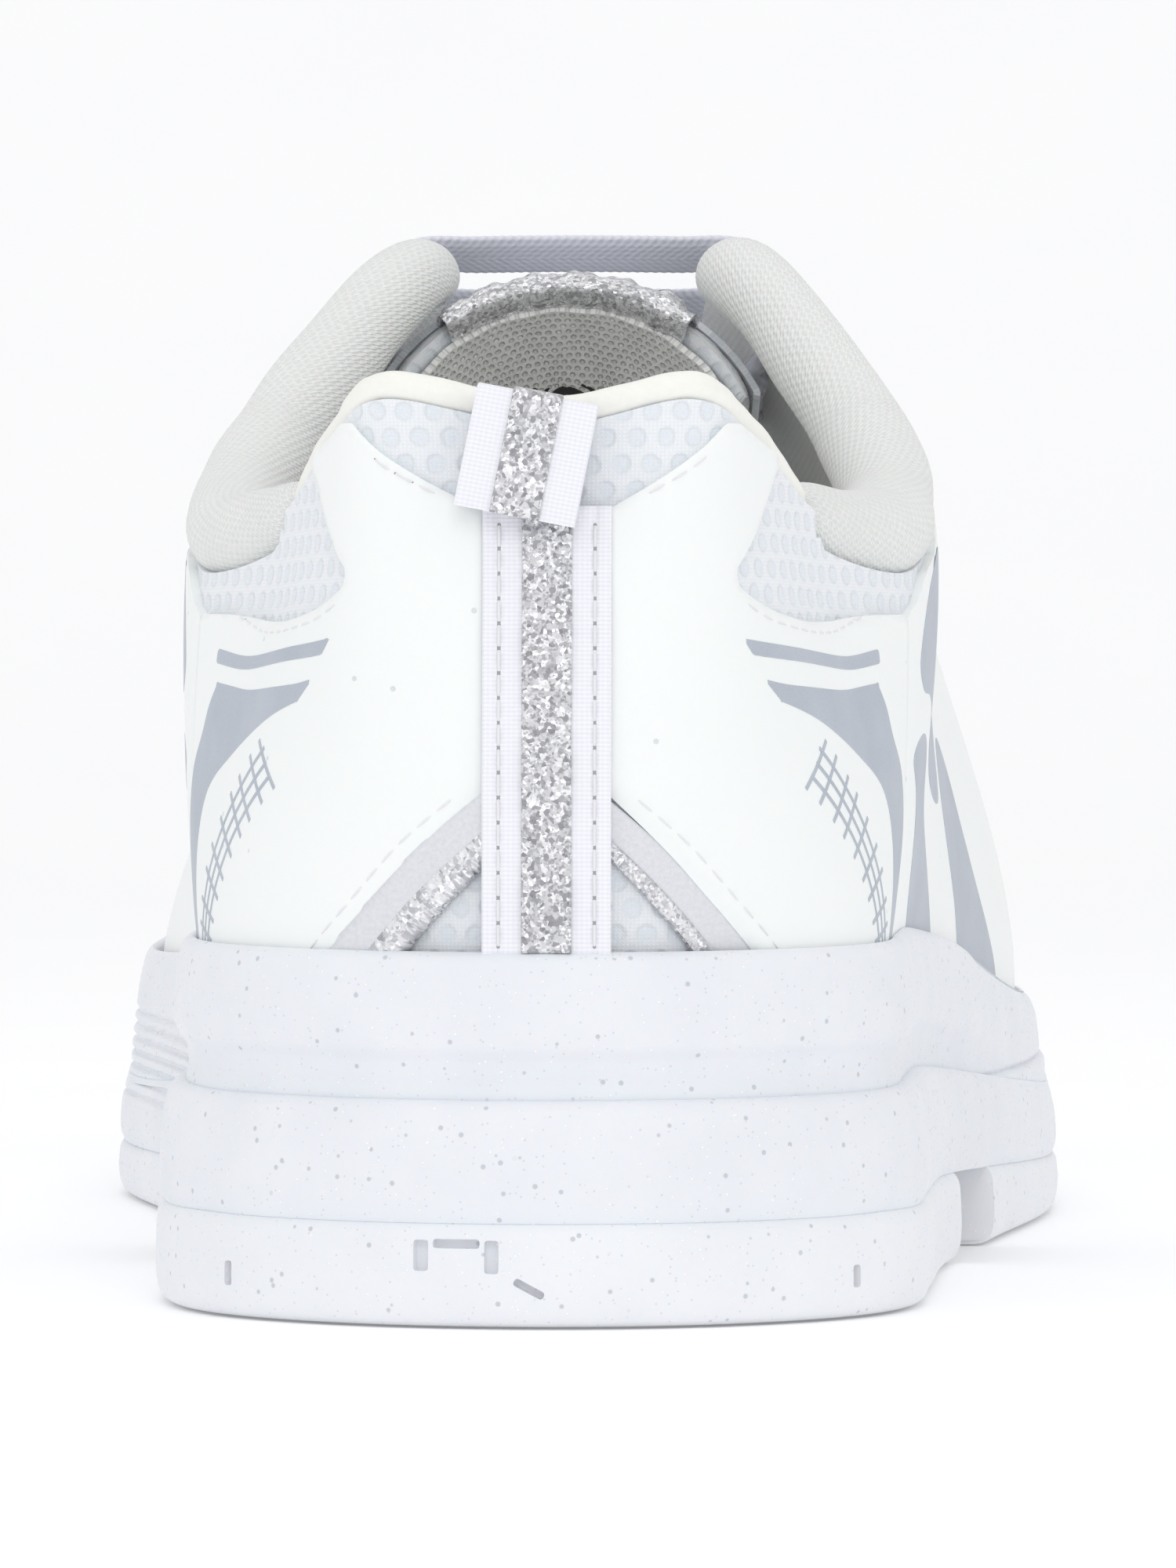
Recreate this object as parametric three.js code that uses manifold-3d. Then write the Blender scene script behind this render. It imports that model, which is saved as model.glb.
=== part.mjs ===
// A right cheer shoe, in millimetres: +Y runs from heel to toe, +X is the lateral side, +Z is up.
// The origin lies on the ground, in the middle of the heel tread.
import * as THREE from 'three';
import Module from 'manifold-3d';

const wasm = await Module();
wasm.setup();

// Driving dimensions
const heelToOrigin = 35; // from the back of the sole to the origin
const widthScale = 1; // every width of the sole and the upper
const heightScale = 1; // every height of the upper above the sole
const outsoleHeel = 10;
const outsoleFore = 6;
const wedgeHeel = 21.5; // top of the lower foam band
const wedgeFore = 13.5;
const grooveHeel = 25.5; // top of the groove between the two foam bands
const grooveFore = 16;
const rimHeel = 35.8; // top of the sole wall
const rimFore = 26.5;
const cupDepth = 6; // how far the upper sits down inside the sole wall
const toeSpring = 12;
const springStart = 205;
const soleLength = 275;
const ledge = 6; // from the sole's side to the outside of the upper's base
const gap = 0.4; // between touching pieces
const shellThick = 1.1;
const overlayThick = 1;
const middleThick = 0.9;
const liningThick = 0.8;
const ribbonWidth = 12.4;
const stripeWidth = 4.7;
const rollRadius = 4.9;
const pipingRadius = 1.5;
const laceWidth = 7;
const laceThick = 1.2;
const eyeletRadius = 2.8;
const eyeletRows = 6;
const tabHeight = 11.6;
const tabLean = THREE.MathUtils.degToRad(11);
const tabTilt = THREE.MathUtils.degToRad(-8);
const tongueThick = 6.4;

// One row is one station round the shoe. w is 0 at the heel centre and 1 at the toe.
// s, lat and med give the sole's edge; topS, topX, topZ give the topline, the throat and the ridge.
// rise and bulge shape the wall at its base, lean and drop shape it at its top.
const stationKeys = [
  'w', 's', 'lat', 'med', 'topS', 'topLat', 'topMed', 'topZ', 'rise', 'bulge', 'lean', 'drop',
];
const stationRows = [
  [0.0, 0, 0, 0, 9, 0, 0, 87.3, 20, 3.5, -2.5, 18],
  [0.08, 3.3, 16, -16.4, 9.8, 14.3, -16, 89.8, 20, 3.5, -2.5, 18],
  [0.16, 12.7, 29, -29.8, 19, 20.5, -21.5, 85.4, 20, 3, -1, 16],
  [0.24, 26, 36, -37.3, 36, 26.5, -27, 78.5, 16, 3, 0, 14],
  [0.32, 46, 37.7, -39.6, 58, 35.5, -35.5, 76.5, 14, 2.5, 1, 12],
  [0.42, 82, 40, -38.6, 86, 34.5, -33, 85.5, 18, 2.5, 4, 14],
  [0.52, 122, 46, -39, 112, 19, -17, 104.3, 26, 2, 14, 14],
  [0.62, 160, 52, -45.5, 148, 14, -13.5, 89, 24, 2, 16, 9],
  [0.7, 190, 52.5, -51.4, 177, 11, -11, 73, 18, 2, 17, 5],
  [0.75, 208, 50, -52, 192, 0, 0, 64.5, 16, 2, 21, 1.8],
  [0.8, 225, 45.5, -50, 207, -0.5, -0.5, 58.5, 14, 2, 18, 2.9],
  [0.86, 244, 38, -45.5, 222, -1.5, -1.5, 53.5, 13, 2, 15, 3.2],
  [0.93, 262, 23.5, -35, 234, -3, -3, 50, 12, 2, 12, 2.8],
  [1.0, 275, -7, -7, 240, -4, -4, 48.5, 12, 2, 11, 2.8],
];
const stations = stationRows.map((row) => Object.fromEntries(row.map((v, i) => [stationKeys[i], v])));

const steps = (a, b, n) => Array.from({ length: n + 1 }, (unused, i) => a + ((b - a) * i) / n);
const mix = (a, b, t) => a + (b - a) * t;
const smooth = (x, a, b) => THREE.MathUtils.smoothstep(x, a, b);
const wrap = (w) => (w > 1 ? w - 2 : w < -1 ? w + 2 : w);

// The station i steps from the heel centre: positive on the lateral side, negative on the medial one.
function stationAt(i) {
  const last = stations.length - 1;
  const turned = Math.abs(i) > last;
  const row = stations[turned ? 2 * last - Math.abs(i) : Math.abs(i)];
  const lateral = turned ? i < 0 : i >= 0;
  return {
    ...row,
    w: Math.sign(i) * (turned ? 2 - row.w : row.w),
    x: lateral ? row.lat : row.med,
    topX: lateral ? row.topLat : row.topMed,
  };
}

// A smooth curve through one column of the stations.
function along(w, key) {
  let i = 0;
  while (stationAt(i + 1).w <= w && i < stations.length - 2) i += 1;
  while (stationAt(i).w > w) i -= 1;
  const [a, b, c, d] = [i - 1, i, i + 1, i + 2].map(stationAt);
  const span = c.w - b.w;
  const t = (w - b.w) / span;
  const m0 = ((c[key] - a[key]) / (c.w - a.w)) * span;
  const m1 = ((d[key] - b[key]) / (d.w - b.w)) * span;
  const h = [2 * t ** 3 - 3 * t ** 2 + 1, t ** 3 - 2 * t ** 2 + t, 3 * t ** 2 - 2 * t ** 3, t ** 3 - t ** 2];
  return h[0] * b[key] + h[1] * m0 + h[2] * c[key] + h[3] * m1;
}

const groundAt = (s) => toeSpring * Math.max(0, (s - springStart) / (soleLength - springStart)) ** 2;
const levelAt = (s, heel, fore) => groundAt(s) + mix(heel, fore, smooth(s, 50, 190));
const rimAt = (s) => levelAt(s, rimHeel, rimFore) - 3 * smooth(s, 235, 275);
const floorAt = (s) => rimAt(s) - cupDepth;
const place = (x, s, z) => new THREE.Vector3(x, s - heelToOrigin, z);

// A point of the sole's edge and the direction that faces out of it.
function edge(w) {
  const step = 0.004;
  const at = (v) => new THREE.Vector2(along(wrap(v), 'x') * widthScale, along(wrap(v), 's'));
  const run = at(w + step).sub(at(w - step)).normalize();
  return { point: at(w), out: new THREE.Vector2(run.y, -run.x) };
}

function soleSide(w, inset, z) {
  const { point, out } = edge(w);
  return place(point.x - out.x * inset, point.y - out.y * inset, z);
}

// The wall of the upper at one station: a curve from its base to the topline or the ridge.
function wall(wAsked) {
  const w = wrap(wAsked);
  const { point, out } = edge(w);
  const s = along(w, 's');
  const foot = place(point.x - out.x * ledge, point.y - out.y * ledge, floorAt(s) + gap);
  const top = place(along(w, 'topX') * widthScale, along(w, 'topS'), along(w, 'topZ') * heightScale);
  const reach = new THREE.Vector3(out.x, out.y, 0);
  const low = foot.clone().addScaledVector(reach, along(w, 'bulge'));
  low.z += along(w, 'rise');
  const high = top.clone().addScaledVector(reach, along(w, 'lean'));
  high.z -= along(w, 'drop');
  const curve = new THREE.CubicBezierCurve3(foot, low, high, top);
  curve.arcLengthDivisions = 40;
  return curve;
}

const walls = new Map();
function wallAt(w) {
  const key = w.toFixed(5);
  if (!walls.has(key)) walls.set(key, wall(w));
  return walls.get(key);
}

// A point of the upper: q runs up the wall from 0 to 1, and off is the distance outside its shell.
function onUpper(w, q, off = 0) {
  const step = 0.006;
  const level = THREE.MathUtils.clamp(q, 0.02, 0.96);
  const across = wallAt(w + step).getPointAt(level).sub(wallAt(w - step).getPointAt(level));
  const up = wallAt(w).getPointAt(level + 0.02).sub(wallAt(w).getPointAt(level - 0.02));
  return wallAt(w).getPointAt(q).addScaledVector(across.cross(up).normalize(), off);
}

const wallLength = (w) => wallAt(w).getLength();
const below = (w, distance) => 1 - distance / wallLength(w);

// Padding swells the collar from the heel to the top of the eyestays.
function pad(w, q) {
  const a = Math.abs(wrap(w));
  return 4.2 * smooth(q, 0.35, 0.75) * (1 - smooth(q, 0.93, 1.02)) * (1 - smooth(a, 0.4, 0.53));
}

// Joins loops of equal length into one closed solid.
function loft(loops, closeStart = true, closeEnd = true) {
  const n = loops[0].length;
  const points = loops.flat();
  const faces = [];
  const quad = (a, b, c, d) => faces.push([a, b, c], [a, c, d]);
  for (let i = 0; i < loops.length - 1; i += 1) {
    for (let k = 0; k < n; k += 1) {
      const next = (k + 1) % n;
      quad(i * n + k, i * n + next, (i + 1) * n + next, (i + 1) * n + k);
    }
  }
  const end = (loops.length - 1) * n;
  for (let k = 0; k < n / 2 - 1; k += 1) {
    if (closeStart) quad(k, n - 1 - k, n - 2 - k, k + 1);
    if (closeEnd) quad(end + k, end + k + 1, end + n - 2 - k, end + n - 1 - k);
  }
  return welded(points, faces);
}

// Shares the corners that lie on each other, drops flat faces and turns the solid right side out.
function welded(points, faces) {
  const seen = new Map();
  const position = [];
  const ids = points.map((p) => {
    const key = p.toArray().map((v) => Math.round(v * 1000)).join();
    if (!seen.has(key)) {
      seen.set(key, position.length / 3);
      position.push(p.x, p.y, p.z);
    }
    return seen.get(key);
  });
  let index = faces.map((f) => f.map((k) => ids[k]));
  index = index.filter(([a, b, c]) => a !== b && b !== c && c !== a);
  const corner = (k) => new THREE.Vector3(...position.slice(3 * k, 3 * k + 3));
  const volume = index.reduce((sum, [a, b, c]) => sum + corner(a).dot(corner(b).cross(corner(c))), 0);
  if (volume < 0) index = index.map(([a, b, c]) => [a, c, b]);
  const geometry = new THREE.BufferGeometry();
  geometry.setAttribute('position', new THREE.Float32BufferAttribute(position, 3));
  geometry.setIndex(index.flat());
  return geometry;
}

const asNumber = (v, w, q) => (typeof v === 'function' ? v(w, q) : v);

// A panel of the upper between two heights and two distances from the shell.
function panel(ws, low, high, inner, outer, rows = 5) {
  const loops = ws.map((w) => {
    const qs = steps(asNumber(low, w), asNumber(high, w), rows);
    const face = (off) => qs.map((q) => onUpper(w, q, asNumber(off, w, q)));
    return [...face(outer), ...face(inner).reverse()];
  });
  return loft(loops);
}

// A panel that goes over the ridge of the forefoot, from the lateral base to the medial one.
function overRidge(from, to, inner, outer, columns, rows = 5) {
  const qs = steps(0, 1, rows);
  const loops = steps(from, to, columns).map((w) => {
    const face = (off) => {
      const lateral = qs.map((q) => onUpper(w, q, off));
      const medial = qs.map((q) => onUpper(-w, q, off));
      lateral[rows].add(medial.pop()).multiplyScalar(0.5);
      return [...lateral, ...medial.reverse()];
    };
    return [...face(outer), ...face(inner).reverse()];
  });
  return loft(loops, true, to < 1);
}

// A piece of the sole between the lateral and the medial edge. side gives its [inset, z] from the bottom up.
function solePiece(ws, side) {
  const loops = ws.map((w) => {
    const shape = (v) => side(along(v, 's')).map(([inset, z]) => soleSide(v, inset, z));
    return [...shape(-w), ...shape(w).reverse()];
  });
  return loft(loops);
}

// A tube of an oval section along a line that rides on the upper.
function rider(ws, centre, halfWide, halfTall, sides = 8) {
  const loops = ws.map((w, i) => {
    const here = centre(w);
    const run = centre(w + 0.004).sub(centre(w - 0.004)).normalize();
    const up = onUpper(w, 1, 0).sub(onUpper(w, 0.96, 0)).normalize();
    const wide = run.clone().cross(up).normalize();
    const tall = wide.clone().cross(run).normalize();
    const t = i / (ws.length - 1);
    const taper = Math.sqrt(Math.max(0.12, 1 - Math.abs(2 * t - 1) ** 8));
    return steps(0, 2 * Math.PI, sides).slice(0, sides).map((angle) => {
      const p = here.clone().addScaledVector(wide, Math.cos(angle) * halfWide * taper);
      return p.addScaledVector(tall, Math.sin(angle) * halfTall * taper);
    });
  });
  return loft(loops);
}

function solidOf(geometry) {
  const mesh = new wasm.Mesh({
    numProp: 3,
    vertProperties: new Float32Array(geometry.getAttribute('position').array),
    triVerts: new Uint32Array(geometry.getIndex().array),
  });
  return new wasm.Manifold(mesh);
}

function geometryOf(solid) {
  const { vertProperties, triVerts } = solid.getMesh();
  const points = [];
  for (let k = 0; k < vertProperties.length; k += 3) {
    points.push(new THREE.Vector3(...vertProperties.slice(k, k + 3)));
  }
  const faces = [];
  for (let k = 0; k < triVerts.length; k += 3) faces.push([...triVerts.slice(k, k + 3)]);
  return welded(points, faces);
}

const cut = (geometry, tools) => {
  let solid = solidOf(geometry);
  for (const tool of tools) solid = solid.subtract(tool);
  return geometryOf(solid);
};

// Sole
const ridgeStart = 0.7505;
const ridgeSteps = 10;
const ridgeStep = (1 - ridgeStart) / ridgeSteps;
const toeWs = steps(ridgeStart, 1, ridgeSteps);
const heelWs = steps(0, 0.44, 12);
const foreWs = [...steps(0.5, 0.72, 6), ...toeWs];
const wholeWs = [...steps(0, 0.72, 17), ...toeWs];

function outsoleSide(s) {
  const g = groundAt(s);
  const top = levelAt(s, outsoleHeel, outsoleFore);
  return [[7, g], [1.9, g + 1], [0.3, g + 3.4], [0, mix(g, top, 0.72)], [1.2, top]];
}

function wedgeSide(s) {
  const low = levelAt(s, outsoleHeel, outsoleFore) + gap;
  const high = levelAt(s, wedgeHeel, wedgeFore);
  return [[1.4, low], [0.5, mix(low, high, 0.25)], [0.9, mix(low, high, 0.75)], [2.4, high]];
}

function carrierSide(s) {
  const low = levelAt(s, wedgeHeel, wedgeFore) + gap;
  const groove = levelAt(s, grooveHeel, grooveFore);
  const rim = rimAt(s);
  const inside = ledge - overlayThick - 2 * gap;
  return [
    [3.6, low],
    [3.8, groove - 1],
    [1.3, groove + 1.6],
    [1, mix(groove, rim, 0.6)],
    [1.4, rim - 1.2],
    [2.1, rim],
    [inside - 1.2, rim],
    [inside, floorAt(s)],
  ];
}

const innerBase = ledge + shellThick + middleThick + liningThick + 3 * gap;
const toeLean = 2.6 * widthScale ** 4; // how far the toe's lining leans in over the sockliner
const toeward = (s) => smooth(s, 170, 240);

function strobelSide(s) {
  const side = innerBase + gap + (toeLean / 2.6 - 1) * toeward(s);
  return [[side, floorAt(s) + gap], [side, floorAt(s) + 2]];
}

function sockSide(s) {
  const low = floorAt(s) + 2 + gap;
  const cup = 4 * (1 - smooth(s, 60, 120));
  const side = innerBase + 0.6 + (toeLean / 2.6 - 1) * toeward(s);
  const top = side + toeLean * toeward(s);
  return [[side, low], [top, low + 4 + cup], [top + 1.6, low + 4 + cup], [side + 8, low + 4]];
}

// Layers of the upper, from the shell inwards
const middleOut = -shellThick - gap;
const middleIn = middleOut - middleThick;
const liningOut = (w, q) => middleIn - gap - pad(w, q);
const liningIn = (w, q) => liningOut(w, q) - liningThick;
const overlayIn = gap;
const overlayOut = gap + overlayThick;

const rollRoom = (2 * rollRadius - 0.9) * heightScale; // of wall that a collar roll takes

// The height at which the layers stop below the piping, the collar rolls and the throat's edge.
function stop(w) {
  const a = Math.abs(wrap(w));
  if (a < heelEnd + 0.001) return below(w, pipingRadius + gap);
  return below(w, a < rollEnd + 0.005 ? rollRoom : 0);
}

const heelEnd = 0.231;
const dipStart = 0.2335;
const rollEnd = 0.54;
const throatEnd = 0.747;

const heelPanelWs = steps(-heelEnd, heelEnd, 18);
const collarWs = steps(dipStart, rollEnd, 9).concat(steps(rollEnd, throatEnd, 7).slice(1));
const quarterWs = (sign) => collarWs.map((w) => sign * w);
const heelLining = () => panel(heelPanelWs, 0, (w) => stop(w), liningIn, liningOut, 6);
const heelMesh = () => panel(heelPanelWs, 0, (w) => stop(w), -shellThick, 0, 6);
const foamIn = (w, q) => liningOut(w, q) + gap + 0.6;
const collarFoam = () => panel(heelPanelWs, 0.56, (w) => stop(w), foamIn, middleOut, 4);
const heelCounter = () => panel(steps(-0.22, 0.22, 14), 0, 0.52, middleIn, middleOut, 3);
const quarterMesh = (sign) => panel(quarterWs(sign), 0, (w) => stop(w), -shellThick, 0, 6);
const quarterLining = (sign) => panel(quarterWs(sign), 0, (w) => stop(w), liningIn, liningOut, 6);

// The heel overlay: its lower edge rises to the V, its upper edge leaves the mesh below the notch bare.
const heelRun = 155; // mm of the heel wall to one unit of w
const ribbonEdge = ribbonWidth / 2 / heelRun;
const heelOverlayWs = (sign) => steps(ribbonEdge, 0.27, 11).map((w) => sign * w);
const vTop = (w) => Math.max(0, mix(0.33, 0, (Math.abs(w) - ribbonEdge) / 0.11));
const vLow = (w) => Math.max(0, mix(0.215, 0, (Math.abs(w) - ribbonEdge) / 0.065));
const overlayHigh = (w) => {
  const a = Math.abs(w);
  return Math.min(stop(w), mix(mix(0.84, 0.96, smooth(a, 0.04, 0.13)), 0.72, smooth(a, 0.2, 0.27)));
};
const heelOverlay = (sign) => panel(
  heelOverlayWs(sign), (w) => vTop(w), overlayHigh, overlayIn, overlayOut, 5,
);
const vStripWs = steps(ribbonEdge, ribbonEdge + 0.095, 5);
const vStrip = (sign) => panel(
  vStripWs.map((w) => sign * w), vLow, (w) => vTop(w) - 0.012, overlayIn, overlayOut, 2,
);
const sideOverlayWs = (sign) => steps(0.275, throatEnd, 14).map((w) => sign * w);
const sideOverlayHigh = (w) => mix(0.72, 0.62, smooth(Math.abs(w), 0.3, 0.6));
const sideIn = gap * widthScale; // a wider shoe curves more between two stations
const sideOverlay = (sign) => panel(
  sideOverlayWs(sign), 0, sideOverlayHigh, sideIn, sideIn + overlayThick, 4,
);
const toeOverlayHigh = (w) => mix(0.3, 0.42, smooth(1 - Math.abs(1 - w), 0.8, 1));
const toeOverlay = () => panel(
  steps(ridgeStart, 2 - ridgeStart, 2 * ridgeSteps), 0, toeOverlayHigh, overlayIn + 0.2, overlayOut + 0.2, 2,
);
const eyestay = (sign) => panel(
  steps(0.535, throatEnd, 8).map((w) => sign * w), 0.7, 0.995, overlayIn, overlayOut, 3,
);

// The ribbon up the middle of the heel lies over the overlays' edges.
function strap(halfWidth, low, high, inner, outer) {
  const loops = steps(low, high, 9).map((q) => {
    const centre = onUpper(0, q, 0);
    const out = onUpper(0, q, 1).sub(centre);
    const at = (x, off) => centre.clone().addScaledVector(out, off).add(new THREE.Vector3(x, 0, 0));
    return [at(-halfWidth, outer), at(halfWidth, outer), at(halfWidth, inner), at(-halfWidth, inner)];
  });
  return loft(loops);
}

const ribbonIn = overlayIn;
const ribbonOut = overlayOut + 0.4;
const heelRibbon = () => strap(ribbonWidth / 2, 0.112, 0.84, ribbonIn, ribbonOut);
const heelStripe = () => strap(stripeWidth / 2, 0.13, 0.835, ribbonOut + gap, ribbonOut + gap + 0.5);

// Topline
const pipingCentre = (w) => onUpper(w, 1, -pipingRadius);
const piping = () => rider(heelPanelWs, pipingCentre, pipingRadius + 0.5, pipingRadius);
const rollSize = (w) => mix(rollRadius, 4.1, smooth(Math.abs(w), 0.4, 0.54));
const rollCentre = (w) => onUpper(w, below(w, 1), -rollSize(w) + 1.2);
const rollWs = steps(dipStart, rollEnd - 0.008, 15);
const roll = (sign) => rider(rollWs.map((w) => sign * w), rollCentre, rollRadius, rollRadius * 0.92);

// Tongue: a curved pad from the front of the throat to above the collar.
const tongueLine = new THREE.CatmullRomCurve3([
  place(0, 189, 55 * heightScale),
  place(0, 172, 65.5 * heightScale),
  place(0, 150, 79.5 * heightScale),
  place(0, 128, 93 * heightScale),
  place(0, 108, 102.3 * heightScale),
]);

function onTongue(t, across, depth) {
  const centre = tongueLine.getPointAt(t);
  const run = tongueLine.getTangentAt(t);
  const up = new THREE.Vector3(1, 0, 0).cross(run).negate();
  const radius = mix(14, 22, t);
  const angle = across / radius;
  const p = centre.clone().addScaledVector(up, -radius);
  p.addScaledVector(up, (radius - depth) * Math.cos(angle));
  p.x += (radius - depth) * Math.sin(angle) * widthScale;
  return p;
}

function tongueLayer(from, to, top, bottom, trim = 0, columns = 8, rows = 7) {
  const loops = steps(from, to, rows).map((t) => {
    const half = mix(13, 25, smooth(t, 0, 0.8)) - trim;
    const xs = steps(-half, half, columns);
    return [...xs.map((x) => onTongue(t, x, top)), ...xs.reverse().map((x) => onTongue(t, x, bottom))];
  });
  return loft(loops);
}

const faceThick = 1;
const tongueFace = () => tongueLayer(0, 0.955, 0, faceThick);
const tongueFoam = () => tongueLayer(0.02, 0.955, faceThick + gap, tongueThick - faceThick - gap, 1.5);
const tongueLining = () => tongueLayer(0, 0.955, tongueThick - faceThick, tongueThick);
const bindingTrim = 2 * rollRadius + 1.1; // keeps its ends clear of the collar rolls
const tongueBinding = () => tongueLayer(0.962, 1, -0.4, tongueThick + 0.4, bindingTrim, 10, 2);
const tongueLabel = () => tongueLayer(0.62, 0.84, tongueThick + gap, tongueThick + gap + 0.4, 14, 6, 4);

// Pull tab: a flattened loop of ribbon that hangs from the notch.
const notchOut = onUpper(0, 1, 0);
const tabHinge = new THREE.Vector3(-0.9, notchOut.y - overlayThick, notchOut.z + 1.2);

function flap(wide, shape) {
  const outline = new THREE.Shape(shape.map(([y, z]) => new THREE.Vector2(y, z)));
  const geometry = new THREE.ExtrudeGeometry(outline, { depth: wide, bevelEnabled: false, steps: 1 });
  geometry.applyMatrix4(new THREE.Matrix4().set(0, 0, 1, -wide / 2, 1, 0, 0, 0, 0, 1, 0, 0, 0, 0, 0, 1));
  return geometry;
}

const leaf = 0.8;
const tabDeep = 2 * leaf + gap;
const tabShape = [
  [0, 0], [0, -tabHeight + 0.6], [-0.6, -tabHeight], [-tabDeep + 0.6, -tabHeight], [-tabDeep, -tabHeight + 0.6],
  [-tabDeep, 0], [-leaf - gap, 0], [-leaf - gap, -tabHeight + 1.2], [-leaf, -tabHeight + 1.2], [-leaf, 0],
];
const stripeOut = tabDeep + gap;
const tabStripeShape = [
  [-stripeOut, -0.3], [-stripeOut, -tabHeight + 0.5],
  [-stripeOut - 0.5, -tabHeight + 0.5], [-stripeOut - 0.5, -0.3],
];

// Lace: straight bars outside, and a climb from row to row inside.
const rowW = (row) => mix(0.553, 0.705, row / (eyeletRows - 1));
const eyeletQ = 0.885;
const insideOff = -(shellThick + middleThick + liningThick + 3 * gap) - laceThick / 2 - 0.35;
const outsideOff = overlayOut + gap + laceThick / 2;

function laceStop(point, toward, normal, wide, thick) {
  const run = toward.clone().normalize();
  const side = normal.clone().cross(run).normalize();
  const up = run.clone().cross(side).normalize();
  const across = side.multiplyScalar(wide / 2);
  const deep = up.multiplyScalar(thick / 2);
  const corner = (a, b) => point.clone().addScaledVector(across, a).addScaledVector(deep, b);
  return [corner(-1, 1), corner(1, 1), corner(1, -1), corner(-1, -1)];
}

function laceRoute() {
  const route = [];
  const barFacing = new THREE.Vector3(0, -0.5, 0.86);
  const holeWide = 3;
  const holeThick = 2;
  const add = (p, n, wide, thick) => route.push({ p, n, wide, thick });
  const hole = (w, inward) => {
    const downhill = onUpper(w, eyeletQ - 0.05, 0).sub(onUpper(w, eyeletQ, 0)).normalize();
    const offs = [outsideOff - 0.2, 0.2, insideOff + 0.2];
    if (!inward) offs.reverse();
    const flat = downhill.multiplyScalar(inward ? -1 : 1);
    for (const off of offs) add(onUpper(w, eyeletQ, off), flat, holeWide, holeThick);
  };
  const inside = (w, q) => {
    const n = onUpper(w, q, 1).sub(onUpper(w, q, 0));
    add(onUpper(w, q, insideOff), n.negate(), 4, laceThick);
  };
  const outside = (w, q) => {
    const n = onUpper(w, q, 1).sub(onUpper(w, q, 0));
    add(onUpper(w, q, outsideOff + 0.6), n, laceWidth, laceThick);
  };
  for (let row = eyeletRows - 1; row >= 0; row -= 1) {
    const sign = row % 2 ? -1 : 1;
    const w = rowW(row) * sign;
    if (row === eyeletRows - 1) {
      inside(w, eyeletQ - 0.24);
      inside(w, eyeletQ - 0.1);
    }
    hole(w, false);
    outside(w, 0.945);
    outside(w, 1);
    const start = onUpper(w, 1, outsideOff + 0.6);
    const end = onUpper(-w, 1, outsideOff + 0.6);
    for (const t of [0.33, 0.67]) add(start.clone().lerp(end, t), barFacing, laceWidth, laceThick);
    outside(-w, 1);
    outside(-w, 0.945);
    hole(-w, true);
    const next = row > 0 ? -rowW(row - 1) * sign : -w;
    if (row > 0) {
      for (const t of [0.35, 0.65]) inside(mix(-w, next, t), eyeletQ);
    } else {
      inside(next, eyeletQ - 0.1);
      inside(next, eyeletQ - 0.24);
    }
  }
  return route;
}

function lace() {
  const route = laceRoute();
  const loops = route.map((stopHere, i) => {
    const before = route[Math.max(0, i - 1)].p;
    const after = route[Math.min(route.length - 1, i + 1)].p;
    return laceStop(stopHere.p, after.clone().sub(before), stopHere.n, stopHere.wide, stopHere.thick);
  });
  return loft(loops);
}

// Stands a cylinder from one point to another.
function pegBetween(from, to, radius, sides) {
  const geometry = new THREE.CylinderGeometry(radius, radius, from.distanceTo(to), sides, 1);
  const way = to.clone().sub(from).normalize();
  const turn = new THREE.Quaternion().setFromUnitVectors(new THREE.Vector3(0, 1, 0), way);
  geometry.applyQuaternion(turn);
  geometry.translate(...from.clone().lerp(to, 0.5).toArray());
  geometry.deleteAttribute('normal');
  geometry.deleteAttribute('uv');
  const p = geometry.getAttribute('position');
  const points = Array.from({ length: p.count }, (unused, k) => new THREE.Vector3().fromBufferAttribute(p, k));
  const index = geometry.getIndex().array;
  const faces = Array.from({ length: index.length / 3 }, (unused, k) => [...index.slice(3 * k, 3 * k + 3)]);
  return welded(points, faces);
}

function punches(sign) {
  return Array.from({ length: eyeletRows }, (unused, row) => {
    const w = rowW(row) * sign;
    return solidOf(pegBetween(onUpper(w, eyeletQ, -6), onUpper(w, eyeletQ, 5), eyeletRadius, 10));
  });
}

function aglet(row) {
  const w = rowW(row) * (row % 2 ? -1 : 1) * (row === 0 ? -1 : 1);
  const from = onUpper(w, eyeletQ - 0.255, insideOff - 0.4);
  const to = onUpper(w, eyeletQ - 0.42, insideOff - 0.4);
  return pegBetween(from, to, 1.2, 8);
}

// Assembly
const shoe = new THREE.Group();

function add(name, geometry, color, roughness, metalness = 0) {
  const material = new THREE.MeshStandardMaterial({ color, roughness, metalness });
  const mesh = new THREE.Mesh(geometry, material);
  mesh.name = name;
  shoe.add(mesh);
  return mesh;
}

const foamWhite = 0xeef0f4;
const leatherWhite = 0xf6f8f6;
const meshWhite = 0xebeef4;
const liningGrey = 0xeef0ec;
const glitterGrey = 0xc8c8cc;
const laceWhite = 0xededf5;

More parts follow.
